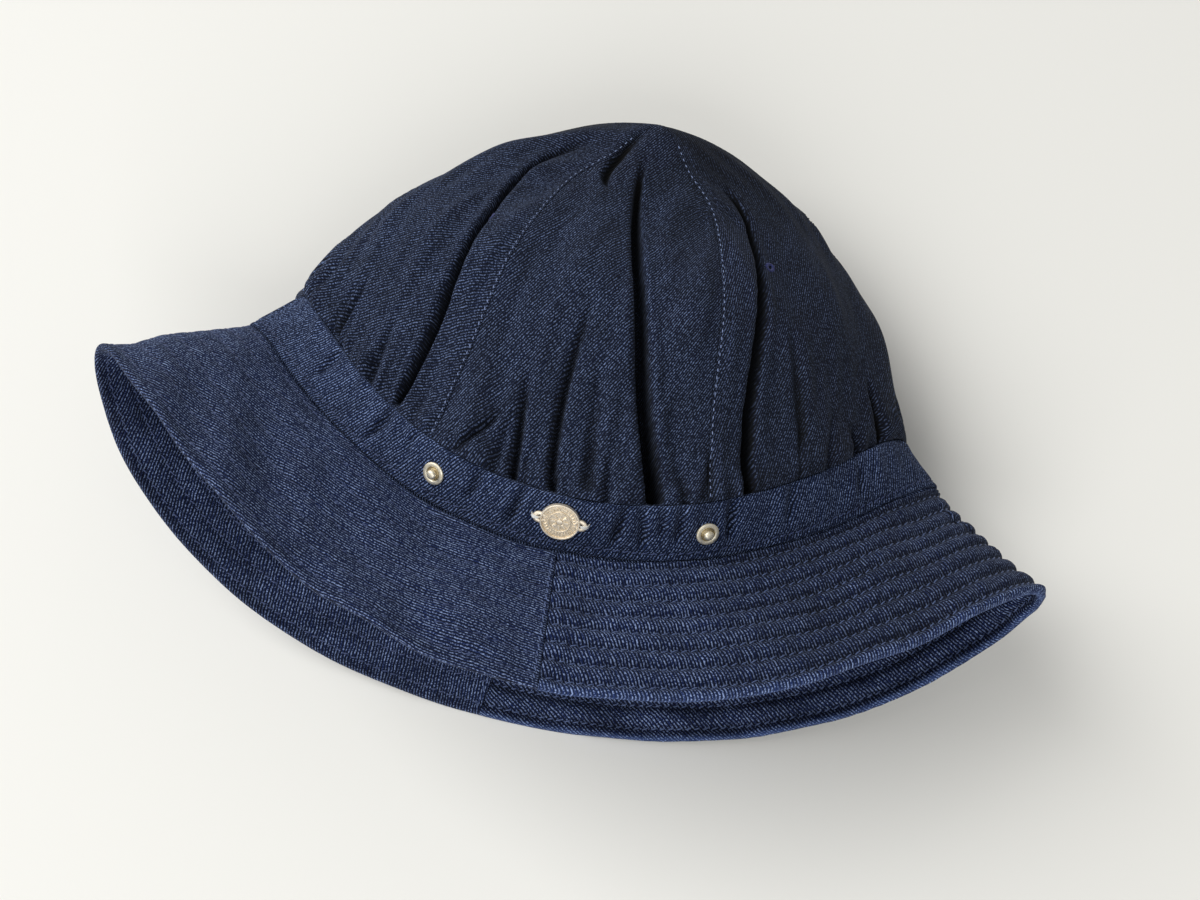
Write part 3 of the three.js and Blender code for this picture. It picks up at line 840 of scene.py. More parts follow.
@dataclass(frozen=True)
class SewingThread:
    """Twisted polyester-cotton sewing thread: soft, faintly glossy, with plies of about 0.35 mm, coarse
    enough to show."""

    name: str
    light: str
    dark: str
    ply_scale: float = 2800.0

    def make(self) -> bpy.types.Material:
        """Builds the material on object coordinates.

        Returns:
            The thread.
        """
        shading = Shading(self.name)
        place = shading.add("TexCoord", {}, "Object")
        plies = shading.add("TexNoise", {"Vector": place, "Scale": self.ply_scale, "Detail": 1.0})
        dark, light = linear_colour(self.dark), linear_colour(self.light)
        colour = shading.add("Mix", {0: plies, 6: dark, 7: light}, 2, data_type="RGBA")
        relief = shading.add("Bump", {"Height": plies, "Strength": 0.5, "Distance": 0.05 * MM})
        inputs = {"Base Color": colour, "Roughness": 0.6, "Sheen Weight": 0.15, "Normal": relief}
        return shading.finish(inputs)


@dataclass(frozen=True)
class PlatedMetal:
    """Stamped brass with a pale plating: satin from tumbling, darker in the low places, with fine random
    scratches about 0.1 mm apart. On the badge the darker low places are painted shade."""

    name: str
    plating: str
    tarnish: str
    roughness: float
    patch_scale: float = 900.0
    scratch_scale: tuple[float, float, float] = (9000.0, 700.0, 900.0)
    scratch_turn: tuple[float, float, float] = (0.2, 0.4, 0.7)

    def make(self) -> bpy.types.Material:
        """Builds the material on object coordinates.

        Returns:
            The plated metal.
        """
        shading = Shading(self.name)
        add = shading.add
        plating, tarnish = linear_colour(self.plating), linear_colour(self.tarnish)
        place = add("TexCoord", {}, "Object")
        patches = add("TexNoise", {"Vector": place, "Scale": self.patch_scale, "Detail": 4.0})
        across = {"Vector": place, "Rotation": self.scratch_turn, "Scale": self.scratch_scale}
        scratches = add("TexNoise", {"Vector": add("Mapping", across), "Scale": 1.0, "Detail": 2.0})
        share = add("MapRange", [patches, 0.42, 0.75, 0.0, 0.45])
        # Darker in the low places: painted shade on the badge.
        low_darkening = add("Attribute", {}, "Fac", attribute_name="low_darkening")
        share = add("Math", [share, low_darkening], operation="ADD", use_clamp=True)
        colour = add("Mix", {0: share, 6: plating, 7: tarnish}, 2, data_type="RGBA")
        rough = add("MapRange", [patches, 0.3, 0.7, self.roughness - 0.08, self.roughness + 0.14])
        relief = add("Bump", {"Height": scratches, "Strength": 0.25, "Distance": 0.03 * MM})
        return shading.finish({"Base Color": colour, "Metallic": 1.0, "Roughness": rough, "Normal": relief})


class Finish(Enum):
    """The finishes that the hat is made in."""

    CROWN_DENIM = Denim("crown_denim_twill")
    BAND_DENIM = Denim("band_denim_twill", warp="#101e40", weft_share=0.85)
    BRIM_DENIM = Denim("brim_denim_twill", warp="#12224e", weft="#8fa3ce", rib_spacing=1.0, weft_share=0.95)
    PALE_THREAD = SewingThread("pale_blue_cotton_thread", "#93a4c8", "#46588c")
    BLUE_THREAD = SewingThread("light_indigo_cotton_thread", "#6579a6", "#2a3a68")
    INDIGO_THREAD = SewingThread("indigo_cotton_thread", "#3d4f80", "#1a2546")
    NAVY_THREAD = SewingThread("navy_eyelet_thread", "#22307a", "#0d1440")
    WHITE_THREAD = SewingThread("white_cotton_thread", "#f2f1ec", "#c5c6c8")
    STUD_METAL = PlatedMetal("pale_gold_plated_brass", "#fbf4e2", "#b3a27e", 0.52)
    BADGE_METAL = PlatedMetal("matt_nickel_plated_brass", "#fff4e2", "#cdbea4", 0.56)


MADE_FINISHES: dict[Finish, bpy.types.Material] = {}


def dress(piece: bpy.types.Object, finish: Finish, slot: str, *nodes: str) -> None:
    """Gives a piece its material and its body, and hides the solids that it stands for.

    Args:
        piece: The finished object.
        finish: Its finish.
        slot: Not used.
        nodes: The solids that it replaces.
    """
    if finish not in MADE_FINISHES:
        MADE_FINISHES[finish] = finish.value.make()
    piece.data.materials.clear()
    piece.data.materials.append(MADE_FINISHES[finish])
    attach(piece, BODY)
    if nodes:
        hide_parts(*nodes)
    triangles = sum(len(face.vertices) - 2 for face in piece.data.polygons)
    LOG.info("%s: %d triangles", piece.name, triangles)


def deselect_all() -> None:
    """Leaves nothing selected, so that an operator acts only on what is added next."""
    if bpy.context.object and bpy.context.object.mode != "OBJECT":
        bpy.ops.object.mode_set(mode="OBJECT")
    bpy.ops.object.select_all(action="DESELECT")


@dataclass
class Stitching:
    """Rows of sewn stitches lying in the cloth: one stitch is modelled and copied along each row. Its sizes
    are in millimetres and its slant in degrees."""

    name: str
    length: float = 2.5
    pitch: float = 2.95
    thickness: float = 0.5
    slant: float = 18.0
    lift: float = 0.08
    roundness: float = 0.75
    end_dip: float = 0.22
    floor_gap: float = 0.02
    sides: int = 6
    rings: int = 5
    centres: list = field(default_factory=list)
    alongs: list = field(default_factory=list)
    outwards: list = field(default_factory=list)

    def row(self, wall: ClothWall, azimuths: np.ndarray, runs: np.ndarray, side: Side) -> None:
        """Lays stitches along a line on a cloth wall.

        Args:
            wall: The cloth that is sewn.
            azimuths: The line's azimuths, close together.
            runs: The line's runs.
            side: The face that the stitches show on.
        """
        points, outward = wall.at(azimuths, runs, side)
        lengths = np.concatenate([[0.0], np.cumsum(np.linalg.norm(np.diff(points, axis=0), axis=1))])
        middles = np.arange(self.pitch / 2, lengths[-1], self.pitch)

        def read(values: np.ndarray, where: np.ndarray) -> np.ndarray:
            """Reads values at lengths along the line."""
            return np.stack([np.interp(where, lengths, values[:, k]) for k in range(3)], axis=1)

        starts, ends = (read(points, middles + way * self.length / 2) for way in (-1, 1))
        self.centres.append(read(points, middles))
        self.alongs.append(unit(ends - starts))
        self.outwards.append(unit(read(outward, middles)))

    def one_stitch(self) -> tuple[np.ndarray, np.ndarray]:
        """Models one stitch from a ball, with blunt ends that dip into the cloth.

        Returns:
            Its points, lying along X, and its faces.
        """
        deselect_all()
        bpy.ops.mesh.primitive_uv_sphere_add(segments=self.sides, ring_count=self.rings, radius=0.5)
        ball = bpy.context.object
        bpy.ops.object.mode_set(mode="EDIT")
        bpy.ops.mesh.select_all(action="SELECT")
        bpy.ops.transform.rotate(value=math.pi / 2, orient_axis="Y", center_override=(0, 0, 0))
        bpy.ops.mesh.quads_convert_to_tris()
        bpy.ops.object.mode_set(mode="OBJECT")
        points = np.array([corner.co for corner in ball.data.vertices])
        faces = np.array([list(face.vertices) for face in ball.data.polygons])
        bpy.data.objects.remove(ball)
        share = np.sign(points[:, 0]) * np.abs(2 * points[:, 0]) ** self.roundness
        x, y = share * self.length / 2, points[:, 1] * self.thickness
        z = points[:, 2] * self.thickness - self.end_dip * share**2
        slant = math.radians(self.slant)
        turned = [x * math.cos(slant) - y * math.sin(slant), x * math.sin(slant) + y * math.cos(slant), z]
        return np.stack(turned, axis=1), faces

    def build(self) -> bpy.types.Object:
        """Copies one stitch to every place.

        Returns:
            All the stitches as one object.
        """
        points, faces = self.one_stitch()
        centres, outward = np.concatenate(self.centres), np.concatenate(self.outwards)
        along = np.concatenate(self.alongs)
        along = unit(along - outward * np.sum(along * outward, axis=1, keepdims=True))
        places = np.stack([along, np.cross(outward, along), outward], axis=1)
        copies = np.einsum("vk,nkc->nvc", points, places) + (centres + outward * self.lift)[:, None]
        vertices = copies.reshape(-1, 3)
        vertices[:, 2] = np.maximum(vertices[:, 2], self.floor_gap)
        every = faces[None] + (np.arange(len(centres)) * len(points))[:, None, None]
        return mesh_object(self.name, vertices, every.reshape(-1, faces.shape[1]))


@dataclass(frozen=True)
class HalfCut:
    """One brim half: its azimuths, the turn of its twill, how strongly its rows are drawn in, the painted
    shading of its inner face (painted shade below zero, painted light above), the seeds of its puckers and
    waves, and its thread."""

    node: str
    start: float
    end: float
    grain: float
    depth: float
    inner_painted_shading: float
    pucker_seed: int
    wave_seed: int
    thread: Finish


@dataclass
class Brim:
    """The turned-down brim: two halves of doubled denim, joined at the centre front and back, with rows of
    stitching that the cloth puffs up between."""

    width: float = 58.0
    cloth: float = 2.6
    band_gap: float = 0.25
    seam_gap: float = 0.02
    edge_radius: float = 1.2
    step: float = 0.86
    first_row: float = 3.2
    row_spacing: float = 7.2
    row_count: int = 7
    edge_row: float = 4.0
    row_wobble: float = 0.18
    row_wave: float = 9.0
    groove_reach: float = 1.5
    fullness: float = 0.36
    draw_in: float = 1.12
    pucker_length: float = 6.5
    pucker_height: float = 0.07
    wave_height: float = 0.5
    calm_reach: float = 5.0
    seam_dip: float = 0.35
    seam_reach: float = 2.2
    rim_reach: float = 2.2
    seam_row: float = 0.75
    halves: tuple[HalfCut, ...] = (
        HalfCut("brim_left", -180.0, 0.0, 36.0, 0.22, -0.2, 41, 11, Finish.INDIGO_THREAD),
        HalfCut("brim_right", 0.0, 180.0, 72.0, 1.0, 0.3, 42, 12, Finish.BLUE_THREAD),
    )

    def rows(self) -> list[float]:
        """The runs of the stitched rows, from the band to the edge."""
        inner = [-(self.first_row + k * self.row_spacing) for k in range(self.row_count)]
        return [*inner, -(self.width - self.edge_row)]

    def half(self, cut: HalfCut) -> ClothWall:
        """Shapes one half.

        Args:
            cut: Which half.

        Returns:
            The cloth wall, ready to build.
        """
        low, high = -self.width, -self.band_gap
        wall = ClothWall(f"{cut.node}_cloth", cut.start, cut.end, low, high, self.cloth, self.step, cut.grain)
        wall.flare, wall.inner_painted_shading = True, cut.inner_painted_shading
        wall.seam_gap, wall.edge_radius = self.seam_gap, self.edge_radius
        wall.lay_out()
        runs = np.broadcast_to(wall.runs, wall.scale.shape)
        lengths = wall.azimuths[:, None] * wall.scale
        wobbles = [self.row_wobble * np.sin(lengths / self.row_wave + run) for run in self.rows()]
        grooves = [bell(runs - run - wobble, self.groove_reach) for run, wobble in zip(self.rows(), wobbles)]
        groove = np.clip(sum(grooves), 0.0, 1.0)
        longest, shortest = self.pucker_length * 1.3, self.pucker_length * 0.7
        pucker = Ripples(cut.pucker_seed, 1.0, longest, shortest, 2.4).at(lengths, runs)
        puffed = self.fullness - self.draw_in * groove + self.pucker_height * pucker * (1 - groove)
        wall.puff = 1.0 + cut.depth * puffed
        waves = Ripples(cut.wave_seed, self.wave_height, 70.0, 28.0, 1.0).at(lengths, runs)
        wall.stand_out = waves + self.pucker_height * cut.depth * pucker
        # Each half's own unevenness ends at the seams, which draw the cloth in a little.
        for seam in (cut.start, cut.end):
            off = np.abs(wall.azimuths - seam)[:, None] * wall.scale
            wall.stand_out *= 1 - bell(off, self.calm_reach)
            wall.stand_out -= self.seam_dip * bell(off, self.seam_reach)
        # Strongly drawn rows wear pale at the rim. Painted shade darkens the rows' grooves, and all the cloth
        # towards the right side.
        rim = bell(runs + self.width, self.rim_reach)
        painted_shade = 0.42 * smooth_rise(wall.azimuths, 12.0, 45.0)[:, None] * (1 - rim)
        wall.wear_and_painted_shading = (0.6 * cut.depth - 0.45) * rim - 0.4 * cut.depth * groove - painted_shade
        wall.shape_faces()
        return wall

    def sew_seams(self, wall: ClothWall) -> None:
        """Sews a row beside the centre front seam and one beside the centre back seam.

        Args:
            wall: The left half, which both rows lie on.
        """
        seam = Stitching("brim_seam_stitches", pitch=3.0, length=2.3)
        runs = np.linspace(-self.width + 1.5, -1.5, 120)
        for azimuth in (wall.end - self.seam_row, wall.start + self.seam_row):
            for side in Side:
                seam.row(wall, np.full(len(runs), azimuth), runs, side)
        dress(seam.build(), Finish.BLUE_THREAD, "brim_denim")

    def make(self) -> None:
        """Builds both halves with their stitching."""
        for cut in self.halves:
            wall = self.half(cut)
            dress(wall.build(), Finish.BRIM_DENIM, "brim_denim", cut.node)
            stitches = Stitching(f"{cut.node}_row_stitches")
            line = np.linspace(cut.start + 0.6, cut.end - 0.6, 900)
            for run in self.rows():
                for side in Side:
                    stitches.row(wall, line, np.full(len(line), run), side)
            dress(stitches.build(), cut.thread, "brim_denim")
            if cut.start < 0:
                self.sew_seams(wall)


@dataclass
class Band:
    """The band that the gathered crown is sewn to, puckered by it, with a topstitch along its foot."""

    height: float = 20.5
    cloth: float = 2.2
    seam_gap: float = 0.3
    edge_radius: float = 0.8
    step: float = 0.8
    grain: float = 58.0
    stitch_row: float = 2.9
    groove_reach: float = 0.8
    badge_clear: float = 9.5
    stud_clear: float = 5.0

    def make(self) -> None:
        """Builds the band with its stitching."""
        low, high = self.seam_gap / 2, self.height - self.seam_gap / 2
        wall = ClothWall("band_cloth", -180.0, 180.0, low, high, self.cloth, self.step, self.grain)
        wall.edge_radius = self.edge_radius
        wall.lay_out()
        runs = np.broadcast_to(wall.runs, wall.scale.shape)
        lengths = wall.azimuths[:, None] * wall.scale
        sink = sum(crease.sink(wall.azimuths, wall.runs, wall.scale) for crease in BAND_PUCKERS)
        small = Ripples(21, 0.28, 14.0, 5.0, 3.5).at(lengths, runs) * smooth_rise(runs, 3.0, 15.0)
        waves = Ripples(22, 0.3, 55.0, 24.0, 1.5).at(lengths, runs)
        # The cloth lies smooth round what is set into it.
        clear = np.ones(wall.scale.shape)
        studs = [(*place, self.stud_clear) for place in STUD_PLACES.values()]
        for azimuth, share, reach in ((*BADGE_PLACE, self.badge_clear), *studs):
            across = (wall.azimuths[:, None] - azimuth) * wall.scale
            away = np.hypot(across, runs - share * self.height)
            clear *= smooth_rise(away, reach * 0.75, reach * 1.3)
        groove = bell(runs - self.stitch_row, self.groove_reach)
        wall.stand_out = clear * (small + waves - sink)
        wall.puff = 1.0 - 0.4 * groove
        # Painted shade darkens the groove of the stitched row and the puckers.
        wall.wear_and_painted_shading = -0.3 * groove - 0.5 * clear * np.clip(sink / 2.5, 0.0, 1.0)
        wall.shape_faces()
        dress(wall.build(), Finish.BAND_DENIM, "band_denim", "band")
        stitches = Stitching("band_stitches")
        line = np.linspace(-179.5, 179.2, 1800)
        for side in Side:
            stitches.row(wall, line, np.full(len(line), self.stitch_row), side)
        dress(stitches.build(), Finish.INDIGO_THREAD, "band_denim")


@dataclass(frozen=True)
class PanelCut:
    """One crown panel: its first azimuth, the turn of its twill, which of its sides are felled over their
    seam (-1 the first, 1 the last), its eyelet's azimuth and share of the panel's length if it has one, and
    how fine its mesh is."""

    node: str
    start: float
    grain: float
    felled: tuple[float, ...]
    eyelet: tuple[float, float] | None = None
    step: float = 0.9


@dataclass
class Crown:
    """Six panels gathered into the band, felled at their seams, with two sewn eyelets."""

    cloth: float = 1.6
    pole_gap: float = 0.6
    panel_turn: float = 60.0
    band_gap: float = 0.3
    seam_gap: float = 0.02
    edge_radius: float = 0.25
    calm_reach: float = 4.0
    fell_width: float = 4.3
    fell_height: float = 0.14
    fell_slope: float = 1.6
    seam_row: float = 0.9
    fell_row: float = 0.5
    row_depth: float = 0.2
    row_reach: float = 0.6
    fullness: float = 1.3
    full_run: float = 4.0
    full_reach: float = 4.5
    eyelet_depth: float = 2.4
    eyelet_ring: float = 1.75
    eyelet_stitches: int = 18
    eyelet_marks: float = 1.8
    gather_count: int = 52
    gather_seed: int = 5
    panels: tuple[PanelCut, ...] = (
        PanelCut("crown_panel_back_left", -150.0, 20.0, (1.0,), step=1.3),
        PanelCut("crown_panel_front_left", -90.0, 48.0, (1.0,), (-44.0, 0.49), 0.7),
        PanelCut("crown_panel_front", -30.0, 60.0, (), step=0.6),
        PanelCut("crown_panel_front_right", 30.0, 64.0, (-1.0,), (48.0, 0.52), 0.6),
        PanelCut("crown_panel_back_right", 90.0, 60.0, (-1.0,), step=1.3),
        PanelCut("crown_panel_back", 150.0, 45.0, (-1.0, 1.0), step=1.3),
    )

    def gathers(self) -> list[Crease]:
        """Small creases that the gathered seam makes above the band, from a fixed seed."""
        chance = np.random.default_rng(self.gather_seed)
        creases = []
        foot = SHAPE.band_height
        for k in range(self.gather_count):
            azimuth = -180.0 + FULL_TURN * (k + chance.uniform(0.1, 0.9)) / self.gather_count
            length = chance.uniform(8.0, 26.0)
            depth = chance.uniform(0.7, 2.4)
            lean = chance.uniform(-3.0, 3.0)
            width = chance.uniform(1.5, 2.6)
            creases.append(Crease(azimuth, azimuth + lean, 0.0, foot, foot + length, depth, width, 0.3, 0.02))
        return creases

    def cut_out(self, cut: PanelCut) -> ClothWall:
        """Lays out one panel's smooth wall.

        Args:
            cut: Which panel.

        Returns:
            The wall, with close grid lines round its eyelet.
        """
        low, high = SHAPE.band_height + self.band_gap / 2, SHAPE.top - self.pole_gap
        end = cut.start + self.panel_turn
        wall = ClothWall(f"{cut.node}_cloth", cut.start, end, low, high, self.cloth, cut.step, cut.grain)
        wall.run_step = cut.step * 1.5 if cut.step < 1 else cut.step
        wall.seam_gap = self.seam_gap
        wall.edge_radius = wall.seam_radius = self.edge_radius
        if cut.eyelet:
            azimuth, share = cut.eyelet
            near = np.linspace(-self.eyelet_marks, self.eyelet_marks, 13)
            wall.extra_azimuths, wall.extra_runs = tuple(azimuth + near), tuple(crown_run(share) + near)
        wall.lay_out()
        return wall

    def panel(self, cut: PanelCut) -> ClothWall:
        """Shapes one panel with its folds, gathers, felled seam and eyelet.

        Args:
            cut: Which panel.

        Returns:
            The cloth wall, ready to build.
        """
        wall = self.cut_out(cut)
        shape = wall.scale.shape
        runs = np.broadcast_to(wall.runs, shape)
        up = runs - SHAPE.band_height
        middle = cut.start + self.panel_turn / 2
        lengths = (wall.azimuths - middle)[:, None] * wall.scale
        folds = (*CROWN_FOLDS, *self.gathers())
        sink = sum(fold.sink(wall.azimuths, wall.runs, wall.scale) for fold in folds)
        seed = abs(60 + round(cut.start))
        soft = Ripples(seed, 1.0, 50.0, 15.0, 3.4).at(lengths, runs)
        fine = Ripples(seed + 1, 0.22, 16.0, 5.0, 7.0, 20).at(lengths, runs)
        calm = smooth_rise(SHAPE.top - runs, 4.0, 30.0)
        near_seam, felling, rubbed = np.zeros(shape), np.zeros(shape), np.zeros(shape)
        for side in (-1.0, 1.0):
            off = np.abs(wall.azimuths - (middle + side * self.panel_turn / 2))[:, None] * wall.scale
            near_seam = np.maximum(near_seam, bell(off, self.calm_reach))
            if side in cut.felled:
                slope = smooth_rise(off, self.fell_width, self.fell_width + self.fell_slope)
                felling += self.fell_height * (1 - slope)
                rubbed += 0.03 * bell(off - self.fell_width, 0.8)
                for line in (self.seam_row, self.fell_width - self.fell_row):
                    felling -= self.row_depth * bell(off - line, self.row_reach)
        # The panels' own unevenness ends at their seams, so that both sides of a seam meet.
        free = 1 - near_seam
        uneven = 1 + 0.6 * free * Ripples(31, 1.0, 17.0, 7.0, 60.0).at(lengths, runs)
        full = self.fullness * uneven * bell(up - self.full_run, self.full_reach)
        stand_out = calm * free * (soft + fine) + (full - sink) * (1 - 0.3 * near_seam) + felling * calm
        if cut.eyelet:
            azimuth, share = cut.eyelet
            away = np.hypot((wall.azimuths[:, None] - azimuth) * wall.scale, runs - crown_run(share))
            stand_out -= self.eyelet_depth * (1 - smooth_rise(away, 0.35, 1.05))
        wall.stand_out = stand_out
        # Painted shade: the cloth is darker deep in the folds, towards the right side and towards the pole.
        painted_fold_shade = np.clip((sink - 0.6) / 2.6, 0.0, 1.0)
        painted_shade = 0.5 * smooth_rise(wall.azimuths, 0.0, 70.0)[:, None] + 0.3 * smooth_rise(up, 80.0, 140.0)
        wall.wear_and_painted_shading = rubbed * (1 - painted_fold_shade) - 0.75 * painted_fold_shade - painted_shade
        wall.shape_faces()
        return wall

    def make(self) -> None:
        """Builds the panels, their seams' stitching and the eyelets."""
        seams = Stitching("crown_seam_stitches", length=1.4, pitch=2.7, thickness=0.38, slant=5.0, lift=0.06)
        fell = Stitching("crown_fell_stitches", length=1.3, pitch=2.7, thickness=0.34, slant=5.0, lift=-0.05)
        eyelets = Stitching("eyelet_stitches", length=1.7, pitch=1.0, thickness=0.55, slant=0.0, lift=0.1)
        for cut in self.panels:
            wall = self.panel(cut)
            dress(wall.build(), Finish.CROWN_DENIM, "crown_denim", cut.node)
            middle = cut.start + self.panel_turn / 2
            runs = np.linspace(wall.low + 1.0, SHAPE.top - 14.0, 260)
            for side in cut.felled:
                per_degree = np.interp(runs, wall.runs, wall.scale[0 if side < 0 else -1])
                seam = middle + side * self.panel_turn / 2
                seams.row(wall, seam - side * self.seam_row / per_degree, runs, Side.OUTER)
                off = self.fell_width - self.fell_row
                fell.row(wall, seam - side * off / per_degree, runs, Side.OUTER)
            if cut.eyelet:
                self.sew_eyelet(wall, cut.eyelet, eyelets)
        dress(seams.build(), Finish.PALE_THREAD, "crown_denim")
        dress(fell.build(), Finish.INDIGO_THREAD, "crown_denim")
        dress(eyelets.build(), Finish.NAVY_THREAD, "crown_denim")

    def sew_eyelet(self, wall: ClothWall, place: tuple[float, float], thread: Stitching) -> None:
        """Lays thread round an eyelet, each stitch pointing to its middle.

        Args:
            wall: The panel.
            place: The eyelet's azimuth and share of the panel's length.
            thread: What takes the stitches.
        """
        azimuth, run = place[0], crown_run(place[1])
        per_degree = float(np.interp(run, wall.runs, wall.scale[len(wall.azimuths) // 2]))
        turns = np.arange(self.eyelet_stitches) * 2 * math.pi / self.eyelet_stitches
        around, up = np.cos(turns) * self.eyelet_ring, np.sin(turns) * self.eyelet_ring
        points, outward = wall.at(azimuth + around / per_degree, run + up, Side.OUTER)
        thread.centres.append(points)
        thread.alongs.append(unit(points - points.mean(axis=0)))
        thread.outwards.append(np.repeat(unit(outward.mean(axis=0))[None], self.eyelet_stitches, axis=0))


def seat(azimuth: float, share: float) -> Matrix:
    """Where something is set into the band.

    Args:
        azimuth: Degrees round the hat.
        share: Its height as a share of the band's.

    Returns:
        A placing matrix in metres: local X round the hat, Y up the band, Z outwards.
    """
    turn, rise, run = 0.5, 1.0, share * SHAPE.band_height
    near = ((-turn, 0.0), (turn, 0.0), (0.0, -rise), (0.0, rise), (0.0, 0.0))
    points = np.array([SHAPE.points([azimuth + aside], [run + up])[0, 0] for aside, up in near])
    points = SHAPE.rest(points)
    around = unit(points[1] - points[0])
    outward = unit(np.cross(around, points[3] - points[2]))
    around = unit(around - outward * float(around @ outward))
    columns = [Vector(around), Vector(np.cross(outward, around)), Vector(outward)]
    origin = Vector((points[4] + np.array(SHAPE.shift)) * MM)
    return Matrix.Translation(origin) @ Matrix(columns).transposed().to_4x4()


def turned_solid(name: str, profile: list[tuple[float, float]], segments: int) -> bpy.types.Object:
    """Models a round solid: a disc is extruded and resized step by step.

    Args:
        name: The object's name.
        profile: Radii and heights in millimetres, from the underside to the top.
        segments: How many sides the circles have.

    Returns:
        The new object, standing on the origin.
    """
    deselect_all()
    radius, height = profile[0]
    bpy.ops.mesh.primitive_circle_add(
        vertices=segments, radius=radius * MM, fill_type="NGON", location=(0, 0, height * MM)
    )
    made = bpy.context.object
    made.name = name
    bpy.ops.object.transform_apply(location=True, rotation=True, scale=True)
    bpy.ops.object.mode_set(mode="EDIT")
    bpy.ops.mesh.select_mode(type="FACE")
    bpy.ops.mesh.select_all(action="SELECT")
    for next_radius, next_height in profile[1:]:
        rise = (next_height - height) * MM
        bpy.ops.mesh.extrude_region_move(TRANSFORM_OT_translate={"value": (0, 0, rise)})
        grow = next_radius / radius
        bpy.ops.transform.resize(value=(grow, grow, 1), center_override=(0, 0, 0))
        radius, height = next_radius, next_height
    bpy.ops.mesh.select_all(action="SELECT")
    bpy.ops.mesh.remove_doubles(threshold=1e-7)
    bpy.ops.mesh.normals_make_consistent(inside=False)
    bpy.ops.object.mode_set(mode="OBJECT")
    return made


def join_into(name: str, parts: list[bpy.types.Object]) -> bpy.types.Object:
    """Joins finished parts into one piece.

    Args:
        name: The piece's name.
        parts: The objects, the first of which is kept.

    Returns:
        The joined object.
    """
    deselect_all()
    for part in parts:
        part.select_set(True)
    bpy.context.view_layer.objects.active = parts[0]
    bpy.ops.object.join()
    parts[0].name = name
    return parts[0]


def set_in_place(piece: bpy.types.Object, matrix: Matrix) -> None:
    """Moves a piece's mesh to its place, leaving the object at the origin."""
    piece.data.transform(matrix)
    piece.matrix_world = Matrix.Identity(4)
    piece.data.update()


def darken_low_places(piece: bpy.types.Object, low: float, high: float, reach: float, share: float) -> None:
    """Marks how much darker the low places of a piece are, while it still lies flat.

    Args:
        piece: The stud or badge, before it is set in place.
        low: The height in millimetres up to which it is fully darkened.
        high: The height from which it keeps its own colour.
        reach: How far from the middle it is darkened, in millimetres.
        share: How dark the low places are.
    """
    places = np.array([corner.co for corner in piece.data.vertices]) / MM
    low_darkening = share * (1 - smooth_rise(places[:, 2], low, high)) * (np.hypot(places[:, 0], places[:, 1]) < reach)
    layer = piece.data.attributes.new("low_darkening", "FLOAT", "POINT")
    layer.data.foreach_set("value", low_darkening.astype(np.float32))


@dataclass
class SnapStuds:
    """The two pressed studs that hold the brim when it is turned up: a rimmed flange, a necked dome, a post
    through the band and a plate behind it."""

    radius: float = 3.75
    height: float = 2.3
    post: float = 1.5
    seat_height: float = 0.5
    band_cloth: float = 2.2
    segments: int = 48

    def profile(self) -> list[tuple[float, float]]:
        """The stud's outline, from the plate behind the band to the top of the dome."""
        back = -self.band_cloth - self.seat_height
        base = self.seat_height - 0.35
        r, dome, h = self.radius, 0.48 * self.radius, self.height
        return [
            (0.8 * r, back - 0.7),
            (0.95 * r, back - 0.6),
            (r, back - 0.4),
            (r, back),
            (self.post, back),
            (self.post, base),
            (0.97 * r, base),
            (r, base + 0.12),
            (r, base + 0.4),
            (0.985 * r, base + 0.6),
            (0.93 * r, base + 0.72),
            (0.84 * r, base + 0.78),
            (0.74 * r, base + 0.78),
            (0.66 * r, base + 0.74),
            (0.62 * r, base + 0.62),
            (0.6 * r, base + 0.4),
            (0.55 * r, base + 0.3),
            (0.93 * dome, base + 0.36),
            (0.84 * dome, base + 0.5),
            (0.8 * dome, base + 0.36 * h),
            (0.84 * dome, base + 0.5 * h),
            (0.88 * dome, base + 0.62 * h),
            (0.86 * dome, base + 0.76 * h),
            (0.78 * dome, base + 0.88 * h),
            (0.62 * dome, base + 0.97 * h),
            (0.4 * dome, base + 1.03 * h),
            (0.15 * dome, base + 1.05 * h),
        ]

    def make(self) -> None:
        """Builds both studs on the band."""
        for name, place in STUD_PLACES.items():
            stud = turned_solid(f"{name}_metal", self.profile(), self.segments)
            deselect_all()
            stud.select_set(True)
            bpy.context.view_layer.objects.active = stud
            bpy.ops.object.shade_smooth_by_angle(angle=math.radians(50))
            darken_low_places(stud, 0.6, 0.85, 0.64 * self.radius, 0.9)
            set_in_place(stud, seat(*place))
            dress(stud, Finish.STUD_METAL, "stud_metal", name)


